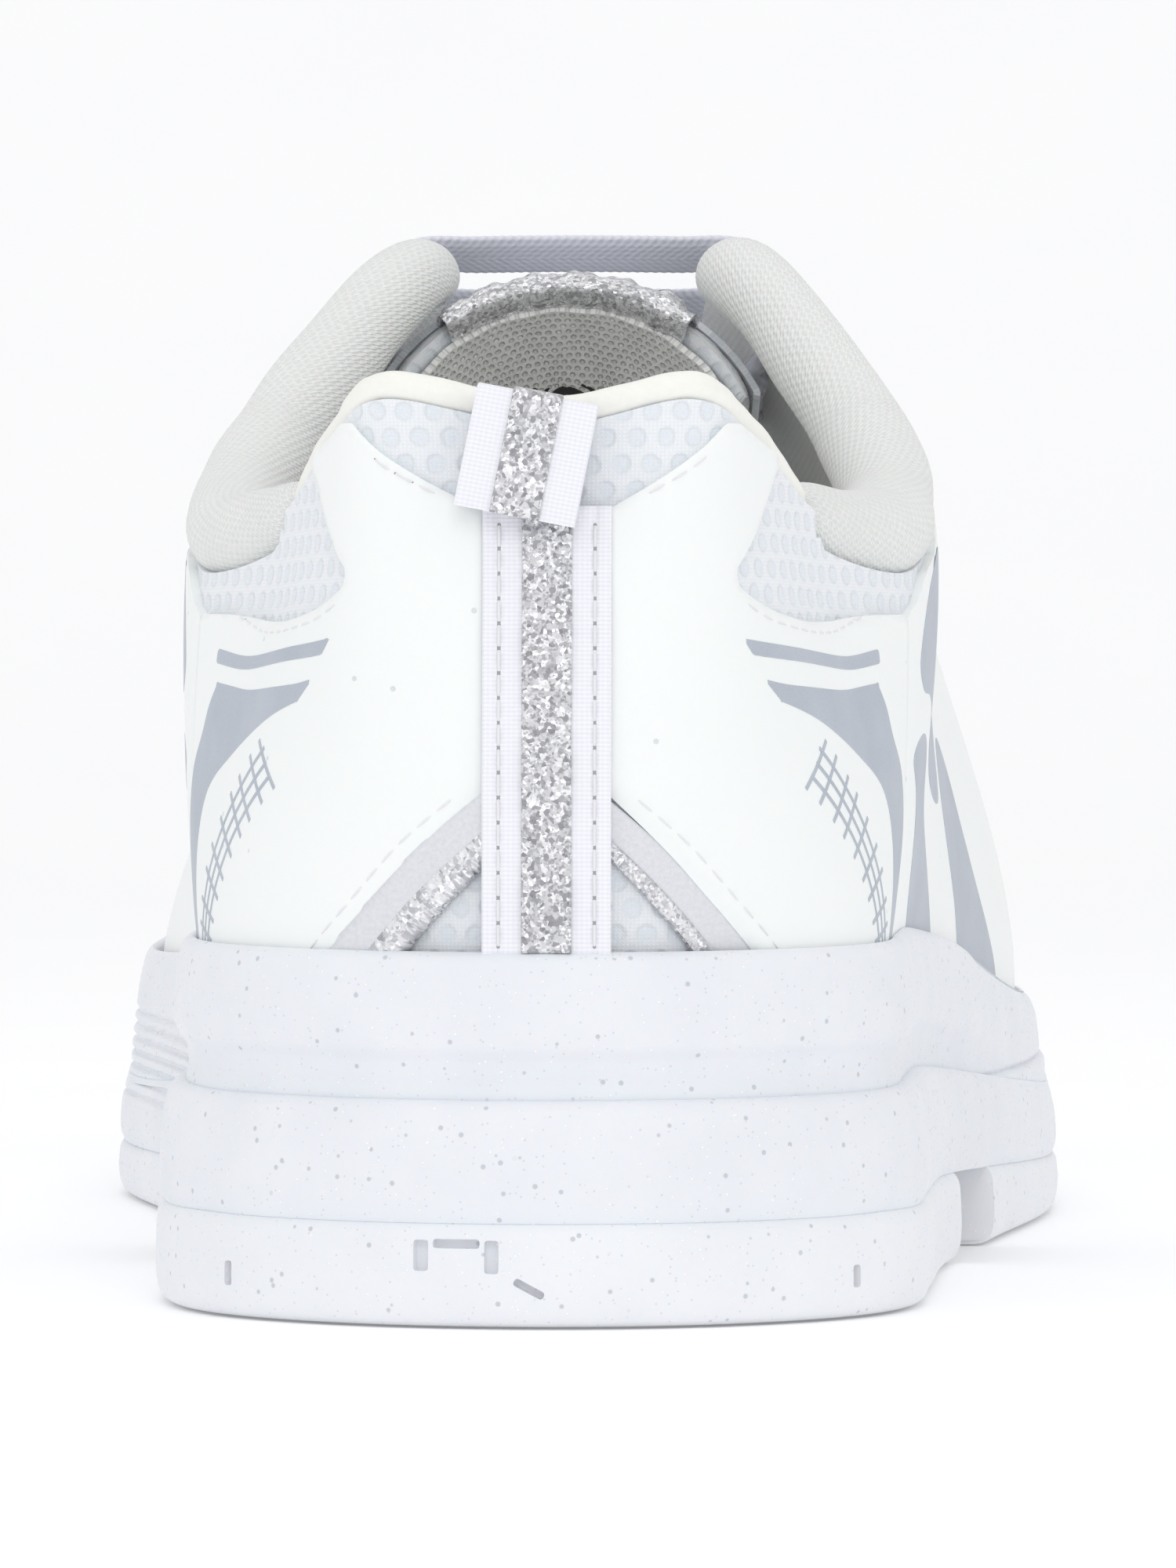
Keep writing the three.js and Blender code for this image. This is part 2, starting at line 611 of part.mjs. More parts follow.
add('outsole_heel', solePiece(heelWs, outsoleSide), foamWhite, 0.6);
add('outsole_forefoot', solePiece(foreWs, outsoleSide), foamWhite, 0.6);
add('midsole_wedge', solePiece(wholeWs, wedgeSide), foamWhite, 0.7);
add('midsole_carrier', solePiece(wholeWs, carrierSide), foamWhite, 0.7);
add('strobel_board', solePiece(wholeWs, strobelSide), 0xd8d8d4, 0.9);
add('sockliner', solePiece(wholeWs, sockSide), liningGrey, 0.9);
add('heel_lining', heelLining(), liningGrey, 0.9);
add('heel_counter', heelCounter(), 0xe8e6e0, 0.5);
add('collar_foam', collarFoam(), 0xf2efe2, 0.95);
add('heel_mesh', heelMesh(), meshWhite, 0.9);
add('vamp_mesh', overRidge(ridgeStart, 1, -shellThick, 0, ridgeSteps), meshWhite, 0.9);
add('vamp_lining', overRidge(ridgeStart, 1, liningIn(1, 0), liningOut(1, 0), ridgeSteps), liningGrey, 0.9);
add('toe_puff', overRidge(1 - 6 * ridgeStep, 1, middleIn, middleOut, 6), 0xe8e6e0, 0.5);
add('toe_overlay', toeOverlay(), leatherWhite, 0.45);
add('heel_ribbon', heelRibbon(), 0xf2f2f8, 0.8);
add('heel_ribbon_glitter', heelStripe(), glitterGrey, 0.3, 0.6);
add('topline_piping', piping(), 0xf5f1e2, 0.6);
for (const [side, sign] of [['lateral', 1], ['medial', -1]]) {
  const holes = punches(sign);
  add(`quarter_mesh_${side}`, cut(quarterMesh(sign), holes), meshWhite, 0.9);
  add(`quarter_lining_${side}`, cut(quarterLining(sign), holes), liningGrey, 0.9);
  add(`eyestay_${side}`, cut(eyestay(sign), holes), leatherWhite, 0.45);
  add(`heel_overlay_${side}`, heelOverlay(sign), leatherWhite, 0.45);
  add(`side_overlay_${side}`, sideOverlay(sign), leatherWhite, 0.45);
  add(`v_strip_${side}`, vStrip(sign), glitterGrey, 0.3, 0.6);
  add(`collar_roll_${side}`, roll(sign), liningGrey, 0.9);
}
add('tongue_face', tongueFace(), meshWhite, 0.9);
add('tongue_foam', tongueFoam(), 0xf2efe2, 0.95);
add('tongue_lining', tongueLining(), 0xdadcd8, 0.9);
add('tongue_binding', tongueBinding(), glitterGrey, 0.3, 0.6);
add('tongue_label', tongueLabel(), 0xd0d2ce, 0.5);
add('lace', lace(), laceWhite, 0.8);
add('aglet_lateral', aglet(0), laceWhite, 0.3);
add('aglet_medial', aglet(eyeletRows - 1), laceWhite, 0.3);
for (const [name, wide, shape, color, metalness] of [
  ['pull_tab', 11.8, tabShape, 0xf2f2f8, 0],
  ['pull_tab_glitter', stripeWidth, tabStripeShape, glitterGrey, 0.6],
]) {
  const mesh = add(name, flap(wide, shape), color, 0.7, metalness);
  mesh.position.copy(tabHinge);
  mesh.rotation.set(tabTilt, tabLean, 0);
}

export default shoe;
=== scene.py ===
import bpy
import math
import numpy as np
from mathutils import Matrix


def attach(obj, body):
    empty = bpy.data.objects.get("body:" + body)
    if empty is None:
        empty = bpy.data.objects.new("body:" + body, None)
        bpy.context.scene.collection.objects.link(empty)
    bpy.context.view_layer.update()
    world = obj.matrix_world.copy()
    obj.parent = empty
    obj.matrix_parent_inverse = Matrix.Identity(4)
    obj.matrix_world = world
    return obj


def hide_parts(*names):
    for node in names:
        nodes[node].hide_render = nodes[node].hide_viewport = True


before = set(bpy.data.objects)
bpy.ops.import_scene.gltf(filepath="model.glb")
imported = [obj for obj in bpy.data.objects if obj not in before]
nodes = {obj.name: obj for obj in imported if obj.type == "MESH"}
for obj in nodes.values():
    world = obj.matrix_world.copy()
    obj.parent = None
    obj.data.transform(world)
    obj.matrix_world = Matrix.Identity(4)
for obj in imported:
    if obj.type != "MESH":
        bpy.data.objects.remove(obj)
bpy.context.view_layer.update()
mm = 0.001

# Camera: a long lens a little over a metre behind the heel, almost level
view = {"back": 1.1198, "side": 0.0236, "height": 0.088, "yaw": 1.0, "pitch": 1.84, "lens": 180.1}
bpy.ops.object.camera_add(
    location=(view["side"], -view["back"] - 0.035, view["height"]),
    rotation=(math.radians(90 - view["pitch"]), 0, math.radians(view["yaw"])))
camera = bpy.context.object
camera.name = "camera"
camera.data.sensor_fit = "VERTICAL"
camera.data.sensor_height = 24
camera.data.lens = view["lens"]
camera.data.clip_start = 0.05
bpy.context.scene.camera = camera
print("camera")

# The lines of the shoe, in millimetres, as the frame has them. w is 0 at the heel centre, 1 at the toe,
# negative on the medial side; q climbs the wall of the upper from 0 to 1.
lines = {
    "toOrigin": 35, "length": 275, "ledge": 6, "gap": 0.4, "shell": 1.1, "overlay": 1.0, "middle": 0.9,
    "lining": 0.8, "cupDepth": 6, "toeSpring": 12, "springStart": 205,
    # heights at the heel and the forefoot
    "outsole": (10, 6), "wedge": (21.5, 13.5), "groove": (25.5, 16), "rim": (35.8, 26.5),
    "heelEnd": 0.231, "dipStart": 0.2335, "rollEnd": 0.54, "throatEnd": 0.747, "ridgeStart": 0.7505,
    "piping": 1.5, "roll": 4.9,
}
stationKeys = ("w", "s", "lat", "med", "topS", "topLat", "topMed", "topZ", "rise", "bulge", "lean", "drop")
stationRows = [
    (0.0, 0, 0, 0, 9, 0, 0, 87.3, 20, 3.5, -2.5, 18),
    (0.08, 3.3, 16, -16.4, 9.8, 14.3, -16, 89.8, 20, 3.5, -2.5, 18),
    (0.16, 12.7, 29, -29.8, 19, 20.5, -21.5, 85.4, 20, 3, -1, 16),
    (0.24, 26, 36, -37.3, 36, 26.5, -27, 78.5, 16, 3, 0, 14),
    (0.32, 46, 37.7, -39.6, 58, 35.5, -35.5, 76.5, 14, 2.5, 1, 12),
    (0.42, 82, 40, -38.6, 86, 34.5, -33, 85.5, 18, 2.5, 4, 14),
    (0.52, 122, 46, -39, 112, 19, -17, 104.3, 26, 2, 14, 14),
    (0.62, 160, 52, -45.5, 148, 14, -13.5, 89, 24, 2, 16, 9),
    (0.7, 190, 52.5, -51.4, 177, 11, -11, 73, 18, 2, 17, 5),
    (0.75, 208, 50, -52, 192, 0, 0, 64.5, 16, 2, 21, 1.8),
    (0.8, 225, 45.5, -50, 207, -0.5, -0.5, 58.5, 14, 2, 18, 2.9),
    (0.86, 244, 38, -45.5, 222, -1.5, -1.5, 53.5, 13, 2, 15, 3.2),
    (0.93, 262, 23.5, -35, 234, -3, -3, 50, 12, 2, 12, 2.8),
    (1.0, 275, -7, -7, 240, -4, -4, 48.5, 12, 2, 11, 2.8),
]
stations = [dict(zip(stationKeys, row)) for row in stationRows]


def stationLoop():  # every station once round the shoe, one past the toe at each end
    loop = []
    for row in stations[-2:-1]:
        loop.append(dict(row, w=row["w"] - 2, x=row["lat"], topX=row["topLat"]))
    for row in reversed(stations[1:]):
        loop.append(dict(row, w=-row["w"], x=row["med"], topX=row["topMed"]))
    for row in stations:
        loop.append(dict(row, x=row["lat"], topX=row["topLat"]))
    for row in stations[-2:-1]:
        loop.append(dict(row, w=2 - row["w"], x=row["med"], topX=row["topMed"]))
    return loop


loop = stationLoop()
knots = np.array([row["w"] for row in loop])


def runOf(points):  # how far along a line each of its points lies
    return np.concatenate([[0], np.cumsum(np.linalg.norm(np.diff(points, axis=0), axis=1))])


def edgeDrop(rolled, inside):  # a quarter round; inside is 0 at the edge and 1 where it ends
    return rolled * (1 - np.sqrt(1 - (1 - inside) ** 2))


def smooth(x, a, b):
    t = np.clip((x - a) / (b - a), 0, 1)
    return t * t * (3 - 2 * t)


def mix(a, b, t):
    return a + (b - a) * t


def wrap(w):
    return (np.asarray(w, float) + 1) % 2 - 1


def along(w, key):  # a smooth curve through one column of the stations
    values = np.array([row[key] for row in loop], float)
    w = wrap(w)
    slopes = np.zeros(len(knots))
    slopes[1:-1] = (values[2:] - values[:-2]) / (knots[2:] - knots[:-2])
    i = np.clip(np.searchsorted(knots, w, side="right") - 1, 1, len(knots) - 3)
    span = knots[i + 1] - knots[i]
    t = (w - knots[i]) / span
    return ((2 * t**3 - 3 * t**2 + 1) * values[i] + (t**3 - 2 * t**2 + t) * slopes[i] * span
            + (3 * t**2 - 2 * t**3) * values[i + 1] + (t**3 - t**2) * slopes[i + 1] * span)


def groundAt(s):
    return lines["toeSpring"] * np.clip(
        (s - lines["springStart"]) / (lines["length"] - lines["springStart"]), 0, 1) ** 2


def levelAt(s, name):
    heel, fore = lines[name]
    return (groundAt(s) + mix(heel, fore, smooth(s, 50, 190))
            - (3 * smooth(s, 235, 275) if name == "rim" else 0))


def edge(w):  # the sole's side in plan, and the way out of it
    step = 0.004
    ahead, behind = wrap(np.asarray(w) + step), wrap(np.asarray(w) - step)
    run = np.stack([along(ahead, "x") - along(behind, "x"), along(ahead, "s") - along(behind, "s")], -1)
    run /= np.linalg.norm(run, axis=-1, keepdims=True)
    point = np.stack([along(w, "x"), along(w, "s")], -1)
    return point, np.stack([run[..., 1], -run[..., 0]], -1)


def soleSide(w, inset, z):
    point, out = edge(w)
    xy = point - out * np.asarray(inset)[..., None]
    return np.stack([xy[..., 0], xy[..., 1] - lines["toOrigin"], np.broadcast_to(z, xy[..., 0].shape)], -1)


def upperTable(columns=1200, rows=200):  # the upper's shell, sampled once and read by every panel
    w = np.linspace(-1, 1, columns + 1)
    point, out = edge(w)
    s = along(w, "s")
    foot = soleSide(w, np.full(w.shape, lines["ledge"]), levelAt(s, "rim") - lines["cupDepth"] + lines["gap"])
    top = np.stack([along(w, "topX"), along(w, "topS") - lines["toOrigin"], along(w, "topZ")], -1)
    reach = np.concatenate([out, np.zeros((len(w), 1))], -1)
    low = foot + reach * along(w, "bulge")[:, None] + np.array([0, 0, 1]) * along(w, "rise")[:, None]
    high = top + reach * along(w, "lean")[:, None] - np.array([0, 0, 1]) * along(w, "drop")[:, None]
    t = np.linspace(0, 1, 241)[None, :, None]
    curve = (foot[:, None] * (1 - t) ** 3 + low[:, None] * 3 * t * (1 - t) ** 2
             + high[:, None] * 3 * t**2 * (1 - t) + top[:, None] * t**3)
    steps = np.linalg.norm(np.diff(curve, axis=1), axis=-1)
    run = np.concatenate([np.zeros((len(w), 1)), np.cumsum(steps, 1)], 1)
    q = np.linspace(0, 1, rows + 1)
    place = np.stack([[np.interp(q * run[i, -1], run[i], curve[i, :, k]) for i in range(len(w))]
                      for k in range(3)], -1)
    span = 4
    closed = np.concatenate([place[-span - 1:-1], place, place[1:span + 1]])
    across = closed[2 * span:] - closed[:-2 * span]
    up = np.gradient(place, axis=1)
    normal = np.cross(across, up)
    normal /= np.linalg.norm(normal, axis=-1, keepdims=True) + 1e-12
    last = int(rows * 0.96)
    normal[:, last:] = normal[:, last:last + 1]
    return place, normal, run[:, -1]


tablePlace, tableNormal, tableLength = upperTable()


def readTable(table, w, q):
    rows, columns = table.shape[1] - 1, table.shape[0] - 1
    a = (wrap(w) + 1) / 2 * columns
    b = np.clip(q, 0, 1) * rows
    i, j = np.minimum(a.astype(int), columns - 1), np.minimum(b.astype(int), rows - 1)
    u, v = (a - i)[..., None], (b - j)[..., None]
    return ((table[i, j] * (1 - u) + table[i + 1, j] * u) * (1 - v)
            + (table[i, j + 1] * (1 - u) + table[i + 1, j + 1] * u) * v)


def onUpper(w, q, off=0.0):
    w, q = np.broadcast_arrays(np.asarray(w, float), np.asarray(q, float))
    normal = readTable(tableNormal, w, q)
    normal /= np.linalg.norm(normal, axis=-1, keepdims=True)
    return readTable(tablePlace, w, q) + normal * np.broadcast_to(off, w.shape)[..., None]


def wallLength(w):
    return np.interp(wrap(w), np.linspace(-1, 1, len(tableLength)), tableLength)


def below(w, distance):
    return 1 - distance / wallLength(w)


# Materials
def linear(text):  # an sRGB colour as the shader wants it
    parts = [int(text[i:i + 2], 16) / 255 for i in (1, 3, 5)]
    return tuple(c / 12.92 if c <= 0.04045 else ((c + 0.055) / 1.055) ** 2.4 for c in parts) + (1,)


def node(tree, kind, inputs=None, **settings):  # adds a node; an input is a value or another node's socket
    made = tree.nodes.new("ShaderNode" + kind)
    for key, value in settings.items():
        setattr(made, key, value)
    for key, value in (inputs or {}).items():
        if isinstance(value, bpy.types.NodeSocket):
            tree.links.new(value, made.inputs[key])
        else:
            made.inputs[key].default_value = value
    return made


def calc(tree, operation, a, b=0.0, c=0.0):
    return node(tree, "Math", {0: a, 1: b, 2: c}, operation=operation).outputs[0]


def ramp(tree, value, low, high, to0=0.0, to1=1.0):  # a smooth step between two values
    made = node(tree, "MapRange", {"Value": value, "From Min": low, "From Max": high,
                                   "To Min": to0, "To Max": to1}, interpolation_type="SMOOTHSTEP")
    return made.outputs["Result"]


def blendColour(tree, factor, a, b):
    made = node(tree, "Mix", {"Factor": factor}, data_type="RGBA")
    for slot, value in (("A", a), ("B", b)):
        socket = [s for s in made.inputs if s.name == slot and s.type == "RGBA"][0]
        if isinstance(value, bpy.types.NodeSocket):
            tree.links.new(value, socket)
        else:
            socket.default_value = value
    return [s for s in made.outputs if s.type == "RGBA"][0]


def noise(tree, where, scale, detail=3.0, rough=0.55):
    return node(tree, "TexNoise", {"Vector": where, "Scale": scale, "Detail": detail, "Roughness": rough})


def newMaterial(name, constants):
    made = bpy.data.materials.new(name)
    made.use_nodes = True
    tree = made.node_tree
    shader = tree.nodes["Principled BSDF"]
    for key, value in constants.items():
        shader.inputs[key].default_value = value
    return made, tree, shader


def inMillimetres(tree, kind="UV"):  # UV maps are laid out in metres, so both kinds come out in mm
    where = node(tree, "TexCoord").outputs[kind]
    return node(tree, "VectorMath", {0: where, "Scale": 1000.0}, operation="SCALE").outputs[0]


def bump(tree, shader, height, distance, strength=1.0):  # distance is in mm
    made = node(tree, "Bump", {"Height": height, "Distance": distance * mm, "Strength": strength})
    tree.links.new(made.outputs[0], shader.inputs["Normal"])
    return made.outputs[0]


def hexDistance(tree, where, pitch):  # mm to the nearest centre of a staggered grid of dots
    size = (pitch, pitch * math.sqrt(3), 1.0)
    found = []
    for shift in (0.0, 0.5):
        part = node(tree, "VectorMath", {0: where, 1: size}, operation="DIVIDE").outputs[0]
        part = node(tree, "VectorMath", {0: part, 1: (shift, shift, 0)}, operation="ADD").outputs[0]
        part = node(tree, "VectorMath", {0: part}, operation="FRACTION").outputs[0]
        part = node(tree, "VectorMath", {0: part, 1: (0.5, 0.5, 0)}, operation="SUBTRACT").outputs[0]
        part = node(tree, "VectorMath", {0: part, 1: (size[0], size[1], 0)}, operation="MULTIPLY").outputs[0]
        found.append(node(tree, "VectorMath", {0: part}, operation="LENGTH").outputs["Value"])
    return calc(tree, "MINIMUM", found[0], found[1])


def wave(tree, where, axis, pitch):  # a plain sine along one axis, 0 to 1
    parts = node(tree, "SeparateXYZ", {0: where})
    turn = calc(tree, "MULTIPLY", parts.outputs[axis], 2 * math.pi / pitch)
    return calc(tree, "MULTIPLY_ADD", calc(tree, "SINE", turn), 0.5, 0.5)


def leatherMaterial():  # PU-coated microfibre, smooth calendered grain, pricked with sparse pin holes
    made, tree, shader = newMaterial("overlayLeather", {
        "Roughness": 0.42, "Specular IOR Level": 0.45, "Coat Weight": 0.08, "Coat Roughness": 0.35,
        "Subsurface Weight": 0.06, "Subsurface Scale": 0.002})
    uv = inMillimetres(tree)
    grain = noise(tree, uv, 2.2, 5.0, 0.6).outputs["Fac"]
    pores = node(tree, "TexVoronoi", {"Vector": uv, "Scale": 1.6},
                 feature="DISTANCE_TO_EDGE").outputs["Distance"]
    holes = node(tree, "TexVoronoi", {"Vector": uv, "Scale": 0.24, "Randomness": 0.75}).outputs["Distance"]
    pin = ramp(tree, holes, 0.035, 0.075, 1.0, 0.0)
    cloud = noise(tree, uv, 0.05, 2.0).outputs["Fac"]
    body = blendColour(tree, cloud, linear("#F5F8F6"), linear("#F9FAFA"))
    # the pin holes are painted grey as shade, on top of their bump
    shade = blendColour(tree, calc(tree, "MULTIPLY", pin, 0.55), body, linear("#C9CCCF"))
    tree.links.new(shade, shader.inputs["Base Color"])
    tree.links.new(ramp(tree, grain, 0.3, 0.7, 0.37, 0.49), shader.inputs["Roughness"])
    height = calc(tree, "MULTIPLY_ADD", grain, 0.6, calc(tree, "MULTIPLY", pores, 0.5))
    height = calc(tree, "SUBTRACT", height, calc(tree, "MULTIPLY", pin, 4.0))
    bump(tree, shader, height, 0.05, 0.5)
    return made


# warp-knitted spacer mesh, round open cells over a shiny back cloth; the cell floors and the rims round them
# are painted darker as shade
def spacerMaterial(pitch=2.9, hole=0.92):
    made, tree, shader = newMaterial("spacerMesh", {
        "Roughness": 0.78, "Sheen Weight": 0.25, "Sheen Roughness": 0.4, "Specular IOR Level": 0.25,
        "Subsurface Weight": 0.08, "Subsurface Scale": 0.0015})
    uv = inMillimetres(tree)
    wobble = node(tree, "VectorMath", {0: noise(tree, uv, 0.5, 2.0).outputs["Color"], "Scale": 0.5},
                  operation="SCALE").outputs[0]
    moved = node(tree, "VectorMath", {0: uv, 1: wobble}, operation="ADD").outputs[0]
    away = hexDistance(tree, moved, pitch)
    openCell = ramp(tree, away, hole * 0.62, hole * 1.2, 1.0, 0.0)
    threads = calc(tree, "MULTIPLY", wave(tree, uv, 0, 0.42), wave(tree, uv, 1, 0.36))
    back = noise(tree, uv, 4.5, 3.0, 0.7).outputs["Fac"]
    cloth = blendColour(tree, threads, linear("#EDF0F4"), linear("#F8F9FB"))
    # the back cloth seen in the cells: its own cloth, painted darker as shade in the recess
    floor = blendColour(tree, back, linear("#E0E6ED"), linear("#F1F5F9"))
    # rim: a grey ring round each cell's edge, painted shade
    rim = ramp(tree, calc(tree, "ABSOLUTE", calc(tree, "SUBTRACT", away, hole)), 0.0, 0.25, 0.08, 0.0)
    colour = blendColour(tree, openCell, cloth, floor)
    colour = blendColour(tree, rim, colour, linear("#B9C0C8"))
    tree.links.new(colour, shader.inputs["Base Color"])
    height = calc(tree, "MULTIPLY_ADD", threads, 0.2, calc(tree, "MULTIPLY", openCell, -1.0))
    height = calc(tree, "MULTIPLY_ADD", back, 0.3, height)
    bump(tree, shader, height, 0.26, 0.6)
    return made


# fine diagonal tricot
def knitMaterial(name="collarKnit", pitch=0.62, light="#F3F4F2", dark="#DEDFDC", deep=0.1):
    made, tree, shader = newMaterial(name, {
        "Roughness": 0.85, "Sheen Weight": 0.35, "Sheen Roughness": 0.45, "Specular IOR Level": 0.2,
        "Subsurface Weight": 0.06, "Subsurface Scale": 0.0015})
    uv = inMillimetres(tree)
    parts = node(tree, "SeparateXYZ", {0: uv})
    lean = calc(tree, "ADD", parts.outputs[0], calc(tree, "MULTIPLY", parts.outputs[1], 0.55))
    rib = calc(tree, "SINE", calc(tree, "MULTIPLY", lean, 2 * math.pi / pitch))
    cross = calc(tree, "SINE", calc(tree, "MULTIPLY_ADD", parts.outputs[1], 2 * math.pi / (pitch * 0.8),
                                    calc(tree, "MULTIPLY", rib, 0.9)))
    weave = calc(tree, "MULTIPLY_ADD", calc(tree, "MULTIPLY", rib, cross), 0.5, 0.5)
    fuzz = noise(tree, uv, 3.0, 4.0, 0.7).outputs["Fac"]
    mixed = calc(tree, "MULTIPLY_ADD", fuzz, 0.4, calc(tree, "MULTIPLY", weave, 0.7))
    tree.links.new(blendColour(tree, mixed, linear(dark), linear(light)), shader.inputs["Base Color"])
    bump(tree, shader, mixed, deep, 0.9)
    return made


def tongueLiningMaterial():  # perforated pique knit with a painted glint in each small cell; the cells are painted darker as shade
    made, tree, shader = newMaterial("tongueLining", {
        "Roughness": 0.7, "Sheen Weight": 0.3, "Sheen Roughness": 0.4, "Specular IOR Level": 0.3})
    uv = inMillimetres(tree)
    away = hexDistance(tree, uv, 1.25)
    pit = ramp(tree, away, 0.2, 0.46, 1.0, 0.0)
    fuzz = noise(tree, uv, 3.5, 4.0, 0.65).outputs["Fac"]
    cloth = blendColour(tree, fuzz, linear("#F1F2EE"), linear("#FCFCFA"))
    glint = node(tree, "TexVoronoi", {"Vector": uv, "Scale": 1.1}).outputs["Color"]
    paintedGlint = ramp(tree, node(tree, "SeparateXYZ", {0: glint}).outputs[0], 0.7, 0.9)
    # pit colour: painted shade, with a painted glint in some cells
    bottom = blendColour(tree, paintedGlint, linear("#DEE0DC"), linear("#FFFFFF"))
    tree.links.new(blendColour(tree, pit, cloth, bottom), shader.inputs["Base Color"])
    height = calc(tree, "MULTIPLY_ADD", fuzz, 0.25, calc(tree, "MULTIPLY", pit, -1.0))
    bump(tree, shader, height, 0.3, 0.9)
    return made


# PET flakes in clear resin: hard little mirrors that each face their own way
def glitterMaterial(name="silverGlitter", flake=2.3, base="#D9D9DC", dark="#A3A3A8"):
    made, tree, shader = newMaterial(name, {
        "Roughness": 0.3, "Coat Weight": 0.35, "Coat Roughness": 0.15, "Specular IOR Level": 0.6})
    where = inMillimetres(tree)
    cells = node(tree, "TexVoronoi", {"Vector": where, "Scale": flake})
    small = node(tree, "TexVoronoi", {"Vector": where, "Scale": flake * 1.9})
    pick = node(tree, "SeparateXYZ", {0: cells.outputs["Color"]})
    pickSmall = node(tree, "SeparateXYZ", {0: small.outputs["Color"]})
    # real flakes measure 0.2 mm; these are about twice that, so that they still show at this distance
    # each flake's tone, from dark grey to near white, is painted reflection: the near-white flakes are
    # painted glints, the small dark cells painted dark reflection
    dull = blendColour(tree, ramp(tree, pick.outputs[0], 0.15, 0.6), linear(dark), linear(base))
    glintFlakes = ramp(tree, pick.outputs[1], 0.62, 0.8)
    colour = blendColour(tree, glintFlakes, dull, linear("#FDFDFF"))
    colour = blendColour(tree, ramp(tree, pickSmall.outputs[2], 0.75, 0.85, 0.0, 0.7), colour, linear(dark))
    tree.links.new(colour, shader.inputs["Base Color"])
    tree.links.new(ramp(tree, pick.outputs[2], 0.2, 0.6, 0.15, 0.85), shader.inputs["Metallic"])
    tree.links.new(ramp(tree, pickSmall.outputs[0], 0.1, 0.9, 0.16, 0.5), shader.inputs["Roughness"])
    height = calc(tree, "ADD", pick.outputs[1], calc(tree, "MULTIPLY", pickSmall.outputs[1], 0.6))
    flat = bump(tree, shader, height, 0.22, 0.55)
    tilt = node(tree, "VectorMath", {0: cells.outputs["Color"], 1: (0.5, 0.5, 0.5)},
                operation="SUBTRACT").outputs[0]
    tilt = node(tree, "VectorMath", {0: tilt, "Scale": 0.75}, operation="SCALE").outputs[0]
    facing = node(tree, "VectorMath", {0: flat, 1: tilt}, operation="ADD").outputs[0]
    facing = node(tree, "VectorMath", {0: facing}, operation="NORMALIZE").outputs[0]
    tree.links.new(facing, shader.inputs["Normal"])
    return made


def silverFilmMaterial():  # brushed silver transfer film along the V
    made, tree, shader = newMaterial("silverFilm",
                                     {"Roughness": 0.45, "Metallic": 0.35, "Specular IOR Level": 0.5})
    uv = inMillimetres(tree)
    grain = noise(tree, uv, 2.5, 4.0, 0.7).outputs["Fac"]
    tree.links.new(blendColour(tree, grain, linear("#CDCFD5"), linear("#F1F2F5")),
                   shader.inputs["Base Color"])
    tree.links.new(ramp(tree, grain, 0.2, 0.8, 0.35, 0.6), shader.inputs["Roughness"])
    bump(tree, shader, grain, 0.05, 0.4)
    return made


def printMaterial():  # grey ink, screen printed, faintly grainy
    made, tree, shader = newMaterial("screenPrint", {"Roughness": 0.5, "Specular IOR Level": 0.4})
    where = inMillimetres(tree)
    grain = noise(tree, where, 3.2, 5.0, 0.75).outputs["Fac"]
    cloud = noise(tree, where, 0.12, 2.0).outputs["Fac"]
    tone = calc(tree, "MULTIPLY_ADD", grain, 0.6, calc(tree, "MULTIPLY", cloud, 0.4))
    colour = blendColour(tree, ramp(tree, tone, 0.3, 0.7), linear("#B1B8C3"), linear("#BFC5CE"))
    tree.links.new(colour, shader.inputs["Base Color"])
    bump(tree, shader, grain, 0.03, 0.4)
    return made


def webbingMaterial():  # plain-woven polyester ribbon: fine ribs across, warp ends along
    made, tree, shader = newMaterial("ribbonWeave", {
        "Roughness": 0.68, "Sheen Weight": 0.3, "Sheen Roughness": 0.35, "Specular IOR Level": 0.35})
    uv = inMillimetres(tree)
    weft = wave(tree, uv, 1, 0.42)
    warp = wave(tree, uv, 0, 0.5)
    fuzz = noise(tree, uv, 4.0, 3.0, 0.7).outputs["Fac"]
    cloth = calc(tree, "MULTIPLY_ADD", weft, 0.55, calc(tree, "MULTIPLY", warp, 0.3))
    cloth = calc(tree, "MULTIPLY_ADD", fuzz, 0.25, cloth)
    tree.links.new(blendColour(tree, cloth, linear("#E9E9F2"), linear("#F9F9FD")),
                   shader.inputs["Base Color"])
    bump(tree, shader, cloth, 0.07, 0.7)
    return made


def laceMaterial():  # braided flat lace, herringbone ribs
    made, tree, shader = newMaterial("laceBraid", {
        "Roughness": 0.75, "Sheen Weight": 0.35, "Sheen Roughness": 0.4, "Specular IOR Level": 0.25})
    uv = inMillimetres(tree)
    parts = node(tree, "SeparateXYZ", {0: uv})
    side = calc(tree, "ABSOLUTE", parts.outputs[1])
    chevron = calc(tree, "MULTIPLY_ADD", side, 0.8, parts.outputs[0])
    rib = calc(tree, "MULTIPLY_ADD", calc(tree, "SINE", calc(tree, "MULTIPLY", chevron, 2 * math.pi / 0.95)),
               0.5, 0.5)
    threads = wave(tree, uv, 1, 0.8)
    fuzz = noise(tree, uv, 4.0, 3.0, 0.7).outputs["Fac"]
    tone = calc(tree, "MULTIPLY_ADD", threads, 0.35, calc(tree, "MULTIPLY", rib, 0.5))
    tone = calc(tree, "MULTIPLY_ADD", fuzz, 0.25, tone)
    tree.links.new(blendColour(tree, tone, linear("#CCCDDA"), linear("#ECECF4")), shader.inputs["Base Color"])
    bump(tree, shader, tone, 0.16, 0.85)
    return made


